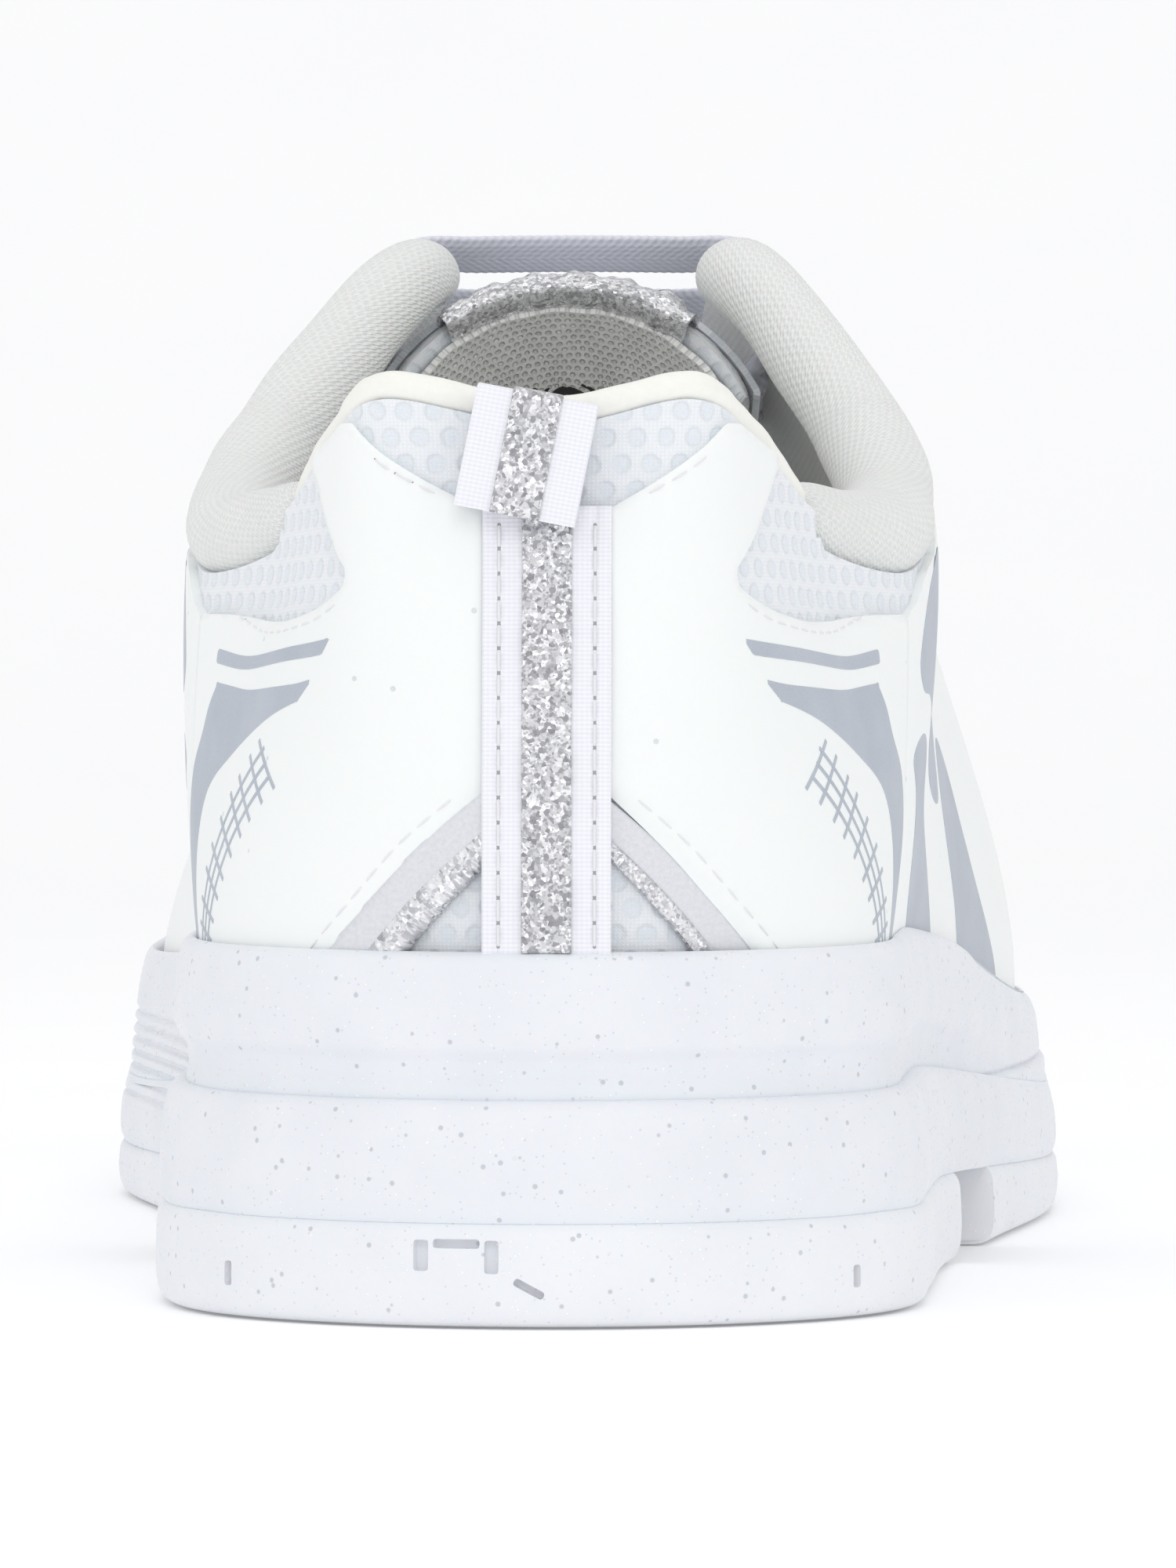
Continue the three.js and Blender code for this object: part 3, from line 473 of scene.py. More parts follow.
def pipingMaterial():  # folded cream synthetic binding
    made, tree, shader = newMaterial("creamBinding", {"Roughness": 0.5, "Specular IOR Level": 0.4})
    where = inMillimetres(tree, "Object")
    grain = noise(tree, where, 1.4, 5.0, 0.6).outputs["Fac"]
    tree.links.new(blendColour(tree, grain, linear("#F3F2EB"), linear("#FAFAF5")),
                   shader.inputs["Base Color"])
    bump(tree, shader, grain, 0.08, 0.5)
    return made


# moulded EVA with mica flakes that glint and grey regrind specks
def foamMaterial(name="speckledFoam", light="#F2F3F7", dark="#E5E8EE"):
    made, tree, shader = newMaterial(name, {
        "Roughness": 0.55, "Specular IOR Level": 0.42, "Subsurface Weight": 0.12, "Subsurface Scale": 0.003})
    where = inMillimetres(tree, "Object")
    cloud = noise(tree, where, 0.09, 3.0).outputs["Fac"]
    skin = noise(tree, where, 1.1, 4.0, 0.6).outputs["Fac"]
    grit = node(tree, "TexVoronoi", {"Vector": where, "Scale": 0.55})
    fine = node(tree, "TexVoronoi", {"Vector": where, "Scale": 1.5})
    pick = node(tree, "SeparateXYZ", {0: grit.outputs["Color"]})
    pickFine = node(tree, "SeparateXYZ", {0: fine.outputs["Color"]})
    speck = calc(tree, "MULTIPLY", ramp(tree, grit.outputs["Distance"], 0.10, 0.17, 1.0, 0.0),
                 ramp(tree, pick.outputs[0], 0.36, 0.4))
    speckFine = calc(tree, "MULTIPLY", ramp(tree, fine.outputs["Distance"], 0.12, 0.2, 1.0, 0.0),
                     ramp(tree, pickFine.outputs[0], 0.4, 0.44))
    flake = calc(tree, "MULTIPLY", ramp(tree, fine.outputs["Distance"], 0.14, 0.24, 1.0, 0.0),
                 ramp(tree, pickFine.outputs[1], 0.72, 0.76))
    body = blendColour(tree, cloud, linear(dark), linear(light))
    body = blendColour(tree, calc(tree, "MULTIPLY", speck, 0.6), body, linear("#B0B5BE"))
    body = blendColour(tree, calc(tree, "MULTIPLY", speckFine, 0.4), body, linear("#BDC1C8"))
    body = blendColour(tree, flake, body, linear("#FFFFFF"))
    tree.links.new(body, shader.inputs["Base Color"])
    tree.links.new(ramp(tree, flake, 0.0, 1.0, 0.55, 0.14), shader.inputs["Roughness"])
    height = calc(tree, "MULTIPLY_ADD", skin, 0.5, calc(tree, "MULTIPLY", flake, 0.8))
    bump(tree, shader, height, 0.09, 0.6)
    return made


def plainMaterial(name, light, dark, rough, grainScale, deep=0.06, sheen=0.0):  # inner pieces, little seen
    made, tree, shader = newMaterial(name, {"Roughness": rough, "Sheen Weight": sheen})
    where = inMillimetres(tree, "Object")
    grain = noise(tree, where, grainScale, 4.0, 0.6).outputs["Fac"]
    tree.links.new(blendColour(tree, grain, linear(dark), linear(light)), shader.inputs["Base Color"])
    bump(tree, shader, grain, deep, 0.6)
    return made


leather = leatherMaterial()
spacer = spacerMaterial()
bigSpacer = spacerMaterial(3.6, 1.25)
knit = knitMaterial("collarKnit", 1.05, "#FBFCFA", "#E6E8E5", 0.26)
liningKnit = knitMaterial("heelLiningKnit", 0.9, "#FAFAF7", "#EAEBE7", 0.16)
tongueKnit = tongueLiningMaterial()
glitter = glitterMaterial()
bindingGlitter = glitterMaterial("bindingGlitter", 2.1, "#E4E4E6", "#AEAEB2")
veeGlitter = glitterMaterial("veeGlitter", 2.7, "#E8E8EB", "#BEBEC4")
silverFilm = silverFilmMaterial()
ink = printMaterial()
webbing = webbingMaterial()
braid = laceMaterial()
cream = pipingMaterial()
foam = foamMaterial()
rubber = foamMaterial("moulded_rubber", "#F4F5F8", "#E9EBF0")
thread = plainMaterial("sewingThread", "#F7F7F8", "#E4E4E8", 0.6, 6.0)
needleHoleShade = plainMaterial("needleHoleShade", "#A9ABB0", "#97999E", 0.9, 3.0)
boardFibre = plainMaterial("strobelFibre", "#DCDCD6", "#C8C8C2", 0.9, 2.0)
stiffener = plainMaterial("counterBoard", "#ECEAE2", "#DEDCD2", 0.55, 1.0)
padFoam = plainMaterial("openCellFoam", "#F5F1E0", "#E3DECB", 0.95, 3.0, 0.2)
agletFilm = plainMaterial("agletFilm", "#F2F2F8", "#DDDDE6", 0.2, 0.8, 0.02)
labelFilm = plainMaterial("labelFilm", "#E4E5E3", "#D2D4D1", 0.5, 1.5)
labelInk = plainMaterial("labelInk", "#3A3A3C", "#2A2A2C", 0.45, 2.0)
print("materials")


# Making pieces
def clearSelection():
    bpy.ops.object.select_all(action="DESELECT")


def activate(piece):
    clearSelection()
    piece.select_set(True)
    bpy.context.view_layer.objects.active = piece


def applyAll(piece):
    activate(piece)
    for modifier in list(piece.modifiers):
        bpy.ops.object.modifier_apply(modifier=modifier.name)


def readPoints(piece):
    flat = np.empty(len(piece.data.vertices) * 3)
    piece.data.vertices.foreach_get("co", flat)
    return flat.reshape(-1, 3)


def writePoints(piece, points):
    piece.data.vertices.foreach_set("co", np.ascontiguousarray(points, dtype=float).ravel())
    piece.data.update()


def writeUv(piece, perVertex):  # one UV for each vertex, in metres
    corner = np.empty(len(piece.data.loops), dtype=int)
    piece.data.loops.foreach_get("vertex_index", corner)
    layer = piece.data.uv_layers.active or piece.data.uv_layers.new(name="UVMap")
    layer.data.foreach_set("uv", np.ascontiguousarray(perVertex[corner], dtype=float).ravel())


def gridPiece(name, us, vs, shape):  # a grid bent to shape(u, v), which gives points and UVs in mm
    clearSelection()
    bpy.ops.mesh.primitive_grid_add(x_subdivisions=len(us) - 1, y_subdivisions=len(vs) - 1, size=2)
    piece = bpy.context.object
    piece.name = name
    points = readPoints(piece)
    column = np.rint((points[:, 0] + 1) / 2 * (len(us) - 1)).astype(int)
    row = np.rint((points[:, 1] + 1) / 2 * (len(vs) - 1)).astype(int)
    place, uv = shape(np.asarray(us)[column], np.asarray(vs)[row])
    writePoints(piece, place * mm)
    writeUv(piece, uv * mm)
    return piece


def weld(piece):  # merges what lies within 0.02 mm
    activate(piece)
    bpy.ops.object.mode_set(mode="EDIT")
    bpy.ops.mesh.select_all(action="SELECT")
    bpy.ops.mesh.remove_doubles(threshold=0.02 * mm)
    bpy.ops.mesh.normals_make_consistent(inside=False)
    bpy.ops.object.mode_set(mode="OBJECT")


def capEnds(piece):  # closes the open loops with a face each
    activate(piece)
    bpy.ops.object.mode_set(mode="EDIT")
    bpy.ops.mesh.select_all(action="DESELECT")
    bpy.ops.mesh.select_mode(type="EDGE")
    bpy.ops.mesh.select_non_manifold(extend=False, use_wire=False, use_multi_face=False,
                                     use_non_contiguous=False, use_verts=False)
    bpy.ops.mesh.edge_face_add()
    bpy.ops.mesh.select_mode(type="VERT")
    bpy.ops.mesh.select_all(action="SELECT")
    bpy.ops.mesh.normals_make_consistent(inside=False)
    bpy.ops.object.mode_set(mode="OBJECT")


def flip(piece):
    activate(piece)
    bpy.ops.object.mode_set(mode="EDIT")
    bpy.ops.mesh.select_all(action="SELECT")
    bpy.ops.mesh.flip_normals()
    bpy.ops.object.mode_set(mode="OBJECT")


def thicken(piece, thick, offset=-1.0):  # inwards from the drawn face
    modifier = piece.modifiers.new("thickness", "SOLIDIFY")
    modifier.thickness = thick * mm
    modifier.offset = offset
    modifier.use_even_offset = False
    applyAll(piece)


def smoothShade(piece, angle=40):
    activate(piece)
    bpy.ops.object.shade_smooth_by_angle(angle=math.radians(angle))


def dress(piece, material, body, replaced=()):
    piece.data.materials.clear()
    piece.data.materials.append(material)
    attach(piece, body)
    if replaced:
        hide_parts(*replaced)
    return piece


def joined(pieces, name):
    clearSelection()
    for piece in pieces:
        piece.select_set(True)
    bpy.context.view_layer.objects.active = pieces[0]
    if len(pieces) > 1:
        bpy.ops.object.join()
    made = bpy.context.object
    made.name = name
    return made


def rowsWith(start, end, count, near=0.0, extra=3):  # even rows, with more of them close to both ends
    rows = np.linspace(start, end, count + 1)
    if near:
        side = np.array([near * (k / (extra + 1)) ** 1.5 for k in range(1, extra + 1)])
        rows = np.concatenate([rows, start + side * (end - start), end - side * (end - start)])
    return np.unique(rows)


# How far along the upper a station lies, in mm, measured two thirds of the way up
runW = np.linspace(-1.3, 1.3, 3121)
runPlace = onUpper(runW, 0.62)
runLength = runOf(runPlace)
runLength -= np.interp(0, runW, runLength)


def toFlat(w, q):  # the upper rolled out flat, in mm
    return np.stack(np.broadcast_arrays(np.interp(w, runW, runLength), np.asarray(q) * wallLength(w)), -1)


def fromFlat(flat):
    w = np.interp(flat[..., 0], runLength, runW)
    return w, flat[..., 1] / wallLength(w)


def panelPiece(name, fromW, toW, low, high, outer, thick, columns, rows, rolled=0.0, offAdd=None):
    # a panel between two heights; its edges roll down by rolled mm
    ws = rowsWith(fromW, toW, columns, 1.4 * rolled / 40 if rolled else 0)
    vs = rowsWith(0, 1, rows, 1.4 * rolled / 40 if rolled else 0)

    def shape(w, v):
        bottom, top = low(w), high(w)
        q = mix(bottom, top, v)
        flat = toFlat(w, q)
        off = np.full(w.shape, float(outer))
        if rolled:
            ends = toFlat(np.array([fromW, toW]), np.array([0.5, 0.5]))[:, 0]
            side = np.minimum(np.abs(flat[:, 0] - ends[0]), np.abs(flat[:, 0] - ends[1]))
            level = np.minimum(v, 1 - v) * (top - bottom) * wallLength(w)
            inside = np.clip(np.minimum(side, level) / rolled, 0, 1)
            off -= edgeDrop(rolled, inside)
        if offAdd is not None:
            off = off + offAdd(w, q)
        return onUpper(w, q, off), flat

    piece = gridPiece(name, ws, vs, shape)
    if fromW > toW:
        flip(piece)
    thicken(piece, thick)
    return piece


def smoothLine(points, perSpan=10, closed=True):  # a rounded line through points, in the flat plane
    points = np.asarray(points, float)
    n = len(points)
    found = []
    for i in range(n if closed else n - 1):
        if closed:
            a, b, c, d = (points[(i + k) % n] for k in (-1, 0, 1, 2))
        else:
            a, b, c, d = (points[min(max(i + k, 0), n - 1)] for k in (-1, 0, 1, 2))
        for t in np.arange(perSpan) / perSpan:
            found.append(0.5 * (2 * b + (c - a) * t + (2 * a - 5 * b + 4 * c - d) * t**2
                                + (3 * b - a - 3 * c + d) * t**3))
    if not closed:
        found.append(points[-1])
    return np.array(found)


def insideOf(points, outline):
    x, y = points[:, 0], points[:, 1]
    found = np.zeros(len(points), bool)
    for (x0, y0), (x1, y1) in zip(outline, np.roll(outline, -1, axis=0)):
        if y0 == y1:
            continue
        crosses = (y0 > y) != (y1 > y)
        found ^= crosses & (x < (x1 - x0) * (y - y0) / (y1 - y0) + x0)
    return found


def nearestOn(points, outline):  # the closest point of an outline to each point, and how far it is
    best = np.full(len(points), 1e9)
    found = np.zeros_like(points)
    for a, b in zip(outline, np.roll(outline, -1, axis=0)):
        run = b - a
        size = run @ run
        if size == 0:
            continue
        t = np.clip(((points - a) @ run) / size, 0, 1)
        place = a + t[:, None] * run
        away = np.linalg.norm(points - place, axis=1)
        closer = away < best
        best[closer] = away[closer]
        found[closer] = place[closer]
    return found, best


def cutPiece(name, outlines, cell, off, thick, rolled=0.0):
    # a panel of any outline, cut from a fine grid laid on the upper; later outlines are holes
    outer = outlines[0]
    low, high = outer.min(0) - cell, outer.max(0) + cell
    counts = np.maximum(2, np.ceil((high - low) / cell).astype(int))
    us, vs = np.linspace(low[0], high[0], counts[0] + 1), np.linspace(low[1], high[1], counts[1] + 1)
    piece = gridPiece(name, us, vs, lambda u, v: (np.stack([u, v, 0 * u], -1), np.stack([u, v], -1)))
    flat = readPoints(piece)[:, :2] / mm
    kept = insideOf(flat, outer)
    for hole in outlines[1:]:
        kept &= ~insideOf(flat, hole)
    faces = np.empty(len(piece.data.polygons) * 4, dtype=int)
    piece.data.polygons.foreach_get("vertices", faces)
    faces = faces.reshape(-1, 4)
    whole = kept[faces].sum(1) >= 2  # a face stays when half of it is inside
    activate(piece)
    bpy.ops.object.mode_set(mode="EDIT")
    bpy.ops.mesh.select_all(action="DESELECT")
    bpy.ops.mesh.select_mode(type="FACE")
    bpy.ops.object.mode_set(mode="OBJECT")
    piece.data.polygons.foreach_set("select", ~whole)
    bpy.ops.object.mode_set(mode="EDIT")
    bpy.ops.mesh.delete(type="FACE")
    bpy.ops.mesh.select_mode(type="VERT")
    bpy.ops.object.mode_set(mode="OBJECT")
    flat = readPoints(piece)[:, :2] / mm
    edges = np.empty(len(piece.data.edges) * 2, dtype=int)
    piece.data.edges.foreach_get("vertices", edges)
    edges = edges.reshape(-1, 2)
    loops = np.empty(len(piece.data.loops), dtype=int)
    piece.data.loops.foreach_get("edge_index", loops)
    border = np.unique(edges[np.bincount(loops, minlength=len(edges)) == 1])
    everyLine = [nearestOn(flat, line) for line in outlines]
    away = np.min([found[1] for found in everyLine], axis=0)
    which = np.argmin([found[1] for found in everyLine], axis=0)
    nearest = np.stack([found[0] for found in everyLine])[which, np.arange(len(flat))]
    flat[border] = nearest[border]
    away[border] = 0
    for lift in (0.3, 0.18):  # evens the cells next to the border
        total = np.zeros_like(flat)
        count = np.zeros(len(flat))
        for a, b in ((0, 1), (1, 0)):
            np.add.at(total, edges[:, a], flat[edges[:, b]])
            np.add.at(count, edges[:, a], 1)
        even = total / np.maximum(count, 1)[:, None]
        near = (away > 0) & (away < 2.5 * cell)
        flat[near] = mix(flat[near], even[near], lift)
    offs = np.full(len(flat), float(off))
    if rolled:
        edgeAway = np.min([nearestOn(flat, line)[1] for line in outlines], axis=0)
        edgeAway[border] = 0
        inside = np.clip(edgeAway / rolled, 0, 1)
        offs -= edgeDrop(rolled, inside) * 0.8
    w, q = fromFlat(flat)
    writePoints(piece, onUpper(w, q, offs) * mm)
    writeUv(piece, flat * mm)
    thicken(piece, thick)
    return piece


def tubeAlong(name, path, radii, sides=12, tall=1.0, up=None, uvSpin=0.0):
    # a rounded tube through points in mm; radii is one number or one for each point
    path = np.asarray(path, float)
    n = len(path)
    radii = np.broadcast_to(radii, (n,)).astype(float)
    run = np.gradient(path, axis=0)
    run /= np.linalg.norm(run, axis=1, keepdims=True)
    if up is None:
        up = np.broadcast_to((0.0, 0.02, 1.0), path.shape)
    wide = np.cross(run, up)
    wide /= np.linalg.norm(wide, axis=1, keepdims=True)
    high = np.cross(wide, run)
    length = runOf(path)

    def shape(u, v):
        i = np.rint(u).astype(int)
        angle = v * 2 * math.pi
        place = (path[i] + wide[i] * (np.cos(angle) * radii[i])[:, None]
                 + high[i] * (np.sin(angle) * radii[i] * tall)[:, None])
        return place, np.stack([length[i], v * 2 * math.pi * radii[i].max() + uvSpin * length[i]], -1)

    piece = gridPiece(name, np.arange(n), np.linspace(0, 1, sides + 1), shape)
    weld(piece)
    capEnds(piece)
    return piece


def stitchRow(name, path, normal, pitch, thick, beadLength, sink=0.0):
    # thread stitches along a line, each a short bead that dives into its needle holes
    path, normal = np.asarray(path, float), np.asarray(normal, float)
    length = runOf(path)
    count = int(length[-1] // pitch)
    dots = []
    beadU = np.array([-1, -0.9, -0.6, 0, 0.6, 0.9, 1])
    beads, beadFaces = [], []
    for k in range(count):
        middle = (k + 0.5) * pitch
        at = lambda s, table=path: np.array([np.interp(s, length, table[:, j]) for j in range(3)]).T
        place = at(middle + beadU * beadLength / 2)
        out = at(np.full(len(beadU), middle), normal)
        out /= np.linalg.norm(out, axis=1, keepdims=True)
        run = place[-1] - place[0]
        run /= np.linalg.norm(run)
        side = np.cross(run, out[0])
        arch = thick * (1 - np.abs(beadU) ** 4) - thick * 0.8 * np.abs(beadU) ** 4 - sink
        start = len(beads)
        ring = []
        for j in range(len(beadU)):
            r = thick * (0.35 if abs(beadU[j]) == 1 else 0.5)
            for angle in np.arange(6) / 6 * 2 * math.pi:
                ring.append(place[j] + out[j] * (arch[j] * 0.5 + math.sin(angle) * r)
                            + side * math.cos(angle) * r)
        beads.extend(ring)
        for j in range(len(beadU) - 1):
            for m in range(6):
                beadFaces.append((start + j * 6 + m, start + j * 6 + (m + 1) % 6,
                                  start + (j + 1) * 6 + (m + 1) % 6, start + (j + 1) * 6 + m))
        beadFaces.append(tuple(start + m for m in range(5, -1, -1)))
        beadFaces.append(tuple(start + 6 * (len(beadU) - 1) + m for m in range(6)))
        for end in (-1, 1):
            dots.append((place[0 if end < 0 else -1] + out[0] * (0.03 - sink), out[0]))
    mesh = bpy.data.meshes.new(name)
    mesh.from_pydata([tuple(p * mm) for p in beads], [], beadFaces)
    piece = bpy.data.objects.new(name, mesh)
    bpy.context.collection.objects.link(piece)
    smoothShade(piece, 80)
    dress(piece, thread, "shoe")
    # grey discs at both ends of each stitch: painted shade of the needle holes
    points, faces = [], []
    for centre, out in dots:
        side = np.cross(out, (0.3, 0.2, 0.9))
        side /= np.linalg.norm(side)
        other = np.cross(out, side)
        start = len(points)
        points.append(tuple(centre * mm))
        for angle in np.arange(8) / 8 * 2 * math.pi:
            points.append(tuple((centre - out * 0.05 + side * math.cos(angle) * thick * 0.62
                                 + other * math.sin(angle) * thick * 0.62) * mm))
        faces.extend((start, start + 1 + k, start + 1 + (k + 1) % 8) for k in range(8))
    mesh = bpy.data.meshes.new(name + "_holes")
    mesh.from_pydata(points, [], faces)
    piece = bpy.data.objects.new(name + "_holes", mesh)
    bpy.context.collection.objects.link(piece)
    dress(piece, needleHoleShade, "shoe")


def lineOnUpper(points, off, perSpan=24):  # a smooth line through (w, q) points, with its normals
    flat = smoothLine(toFlat(*np.array(points, float).T), perSpan, closed=False)
    w, q = fromFlat(flat)
    return onUpper(w, q, off), onUpper(w, q, off + 1) - onUpper(w, q, off)


print("helpers")


# Sole
sAlong = np.linspace(0, 1, 801)
sTable = np.maximum.accumulate(along(sAlong, "s"))
middleTable = (along(sAlong, "x") + along(-sAlong, "x")) / 2


def curveThrough(points, v):  # a smooth profile through control points, each an (inset, z) pair of arrays
    last = len(points) - 1
    i = np.clip((v * last).astype(int), 0, last - 1)
    t = v * last - i
    stack = np.stack([np.stack(np.broadcast_arrays(*p), -1) for p in points])
    row = np.arange(len(v))
    a, b = stack[np.maximum(i - 1, 0), row], stack[i, row]
    c, d = stack[i + 1, row], stack[np.minimum(i + 2, last), row]
    t = t[:, None]
    ease = 0.5 * (2 * b + (c - a) * t + (2 * a - 5 * b + 4 * c - d) * t**2 + (3 * b - a - 3 * c + d) * t**3)
    return mix(b + (c - b) * t, ease, 0.8)


def solePiece(name, ws, profile, rows, extra=None):
    vs = np.concatenate([[-1], np.linspace(0, 1, rows + 1), [2]])

    def shape(w, v):
        s = along(w, "s")
        found = curveThrough(profile(w, s), np.clip(v, 0, 1))
        inset, z = found[:, 0], found[:, 1]
        if extra is not None:
            inset = inset + extra(w, z, v)
        place = soleSide(w, inset, z)
        middle = (v < 0) | (v > 1)
        deep = place[:, 1] + lines["toOrigin"]
        place[middle, 0] = np.interp(deep, sTable, middleTable)[middle]
        return place, np.stack([np.interp(w, runW, runLength), z], -1)

    piece = gridPiece(name, ws, vs, shape)
    weld(piece)
    return piece


def sideRows(low, high):  # stations for a stretch of the sole, evenly 0.0035 apart
    return np.concatenate([np.arange(low, high, 0.0035), [high]])


def leaning(s, inset, z):  # the sole's sides lean in towards the rim
    low = groundAt(s) + 5
    height = np.clip((z - low) / (levelAt(s, "rim") - low), 0, 1)
    return inset + mix(2.0, 2.4, smooth(s, 90, 160)) * height ** 1.3, z


def rimSeen(w, s):  # the rim runs a little lower along the lateral forefoot
    reach = smooth(s, 100, 160) * (1 - smooth(np.abs(wrap(w)), 0.8, 0.97))
    return levelAt(s, "rim") + reach * np.where(wrap(w) > 0, -3.2, 1.0)


def outsoleProfile(w, s):
    g, top = groundAt(s), levelAt(s, "outsole")
    return [(7, g), (2.2, g), (0.8, g + 0.4), (0.2, g + 1.5), (0.0, g + 3.4), (0.05, mix(g, top, 0.62)),
            (0.2, mix(g, top, 0.86)), leaning(s, 0.55, top - 0.25), leaning(s, 1.2, top), (4, top)]


def wedgeProfile(w, s):
    low, high = levelAt(s, "outsole"), levelAt(s, "wedge")
    fore = smooth(s, 95, 150)
    return [(4, low - 0.15), leaning(s, 1.0, low - 0.15), leaning(s, 0.5, low + 0.3),
            leaning(s, 0.15, mix(low, high, 0.15)), leaning(s, 0.0, mix(low, high, 0.35)),
            leaning(s, 0.0, mix(low, high, 0.6)), leaning(s, 0.2, mix(low, high, 0.82)),
            leaning(s, mix(0.7, 0.4, fore), mix(low, high, 0.95)),
            leaning(s, mix(1.8, 0.8, fore), high + 0.1), (6, high + 0.1)]


def carrierProfile(w, s):
    low, groove, rim = levelAt(s, "wedge") - 0.1, levelAt(s, "groove"), rimSeen(w, s)
    inside = lines["ledge"] - lines["overlay"] - 2 * lines["gap"]
    fore = smooth(s, 95, 150)
    return [(6, low), leaning(s, mix(2.3, 0.8, fore), low),
            leaning(s, mix(2.3, 0.6, fore), mix(low, groove, 0.5)),
            leaning(s, mix(1.9, 0.5, fore), mix(low, groove, 0.95)),
            leaning(s, mix(0.8, 0.45, fore), groove + 1.3),
            leaning(s, 0.4, mix(groove, rim, 0.35)), leaning(s, 0.4, mix(groove, rim, 0.65)),
            leaning(s, 0.6, rim - 1.5), leaning(s, 0.95, rim - 0.5), (3.75, rim), (inside, rim - 0.5),
            (inside, rim - 1.6), (inside, levelAt(s, "rim") - lines["cupDepth"] - 0.1)]


def forefootRibs(w, z, v):  # fine grooves on the medial forefoot, one step line on the lateral one
    medial = smooth(-w, 0.5, 0.54) * (1 - smooth(-w, 0.74, 0.8))
    level = z - groundAt(along(w, "s"))
    rib = np.clip(np.sin(level * 2 * math.pi / 1.5) * 1.6 + 0.9, 0, 1)
    body = smooth(level, 10.5, 11.5) * (1 - smooth(level, 20.5, 21.5))
    stepped = smooth(w, 0.5, 0.53) * (1 - smooth(w, 0.8, 0.86))
    step = stepped * (smooth(level, 16.6, 17.0) * 0.45 + 0.5 * np.exp(-((level - 17.0) / 0.35) ** 2))
    return (0.4 * medial * body * (1 - rib) + step) * (v > 0.08) * (v < 0.74)


def heelBand(w, z, v):  # the wedge's band dips where it turns round the heel corners
    return 0.25 * np.exp(-((np.abs(w) - 0.2) / 0.03) ** 2) * (v >= 0) * (v <= 1)


heelPod = solePiece("heelPod", sideRows(-0.44, 0.44), outsoleProfile, 44)
capEnds(heelPod)
forePod = solePiece("forefootPod", sideRows(0.5, 1.5), outsoleProfile, 26)
capEnds(forePod)
wedge = solePiece("wedge", sideRows(-1, 1), wedgeProfile, 70,
                  lambda w, z, v: forefootRibs(w, z, v) + heelBand(w, z, v))
carrier = solePiece("carrier", sideRows(-1, 1), carrierProfile, 110, forefootRibs)
notches = {"places": [(-31.0, 3.1, 1.1, 2.4), (29.8, 3.0, 1.1, 2.2), (-12.0, 5.4, 1.5, 3.0),
                      (-5.2, 5.2, 1.4, 3.2), (-8.6, 7.6, 4.6, 0.9), (-1.6, 3.4, 3.2, 0.8)],
           "deep": 1.3}
cutters = []
for x, z, wide, tall in notches["places"]:
    w = float(np.interp(x, along(np.linspace(-0.3, 0.3, 301), "x"), np.linspace(-0.3, 0.3, 301)))
    point, out = edge(np.array([w]))
    bpy.ops.mesh.primitive_cube_add(size=1, location=(0, 0, 0))
    tool = bpy.context.object
    tool.scale = (wide * mm, 2 * notches["deep"] * mm, tall * mm)
    tool.rotation_euler = (0, math.radians(28 if wide == 3.2 else 0),
                           math.atan2(out[0, 1], out[0, 0]) + math.pi / 2)
    tool.location = (point[0, 0] * mm, (point[0, 1] - lines["toOrigin"]) * mm, (z + tall / 2) * mm)
    bpy.ops.object.transform_apply(location=True, rotation=True, scale=True)
    bevel = tool.modifiers.new("soft", "BEVEL")
    bevel.width = 0.3 * mm
    bevel.segments = 2
    applyAll(tool)
    cutters.append(tool)
cutter = joined(cutters, "notchTools")
modifier = heelPod.modifiers.new("notches", "BOOLEAN")
modifier.object = cutter
modifier.operation = "DIFFERENCE"
modifier.solver = "EXACT"
applyAll(heelPod)
bpy.data.objects.remove(cutter)

soleBodies = ((heelPod, rubber, "outsole_rubber", "outsole_heel"),
              (forePod, rubber, "outsole_rubber", "outsole_forefoot"),
              (wedge, foam, "midsole_foam", "midsole_wedge"),
              (carrier, foam, "midsole_foam", "midsole_carrier"))
for piece, material, slot, cadNode in soleBodies:
    smoothShade(piece, 35)
    dress(piece, material, "shoe", [cadNode])


def sockProfile(w, s):
    low = levelAt(s, "rim") - lines["cupDepth"] + 2.4
    cup = 4 * (1 - smooth(s, 60, 120))
    side = 10.6
    top = side + 2.6 * smooth(s, 170, 240)
    return [(side + 6, low), (side, low), (mix(side, top, 0.5), low + 2 + cup / 2), (top, low + 3.6 + cup),
            (top + 0.8, low + 4 + cup), (top + 1.8, low + 3.8 + cup), (side + 6, low + 4.1 + 0.3 * cup),
            (side + 9, low + 4), (side + 14, low + 4)]


sock = solePiece("sockliner", np.concatenate([np.arange(-1, 1, 0.01), [1]]), sockProfile, 26)
smoothShade(sock, 50)
sockCloth = plainMaterial("socklinerCloth", "#F0F0EE", "#DADBD8", 0.85, 3.2, 0.12, 0.3)
dress(sock, sockCloth, "shoe", ["sockliner"])
print("sole")

# Upper: the base layers
dipStart, rollEnd, throatEnd, ridgeStart = (
    lines["dipStart"], lines["rollEnd"], lines["throatEnd"], lines["ridgeStart"])
heelEnd = lines["heelEnd"]
middleIn = -lines["shell"] - lines["gap"] - lines["middle"]


def pad(w, q):
    a = np.abs(wrap(w))
    return 4.2 * smooth(q, 0.35, 0.75) * (1 - smooth(q, 0.93, 1.02)) * (1 - smooth(a, 0.4, 0.53))


def stop(w):
    a = np.abs(wrap(w))
    room = np.where(a < heelEnd + 0.001, lines["piping"] + lines["gap"],
                    np.where(a < rollEnd + 0.005, 8.9, 0.0))
    return below(w, room)


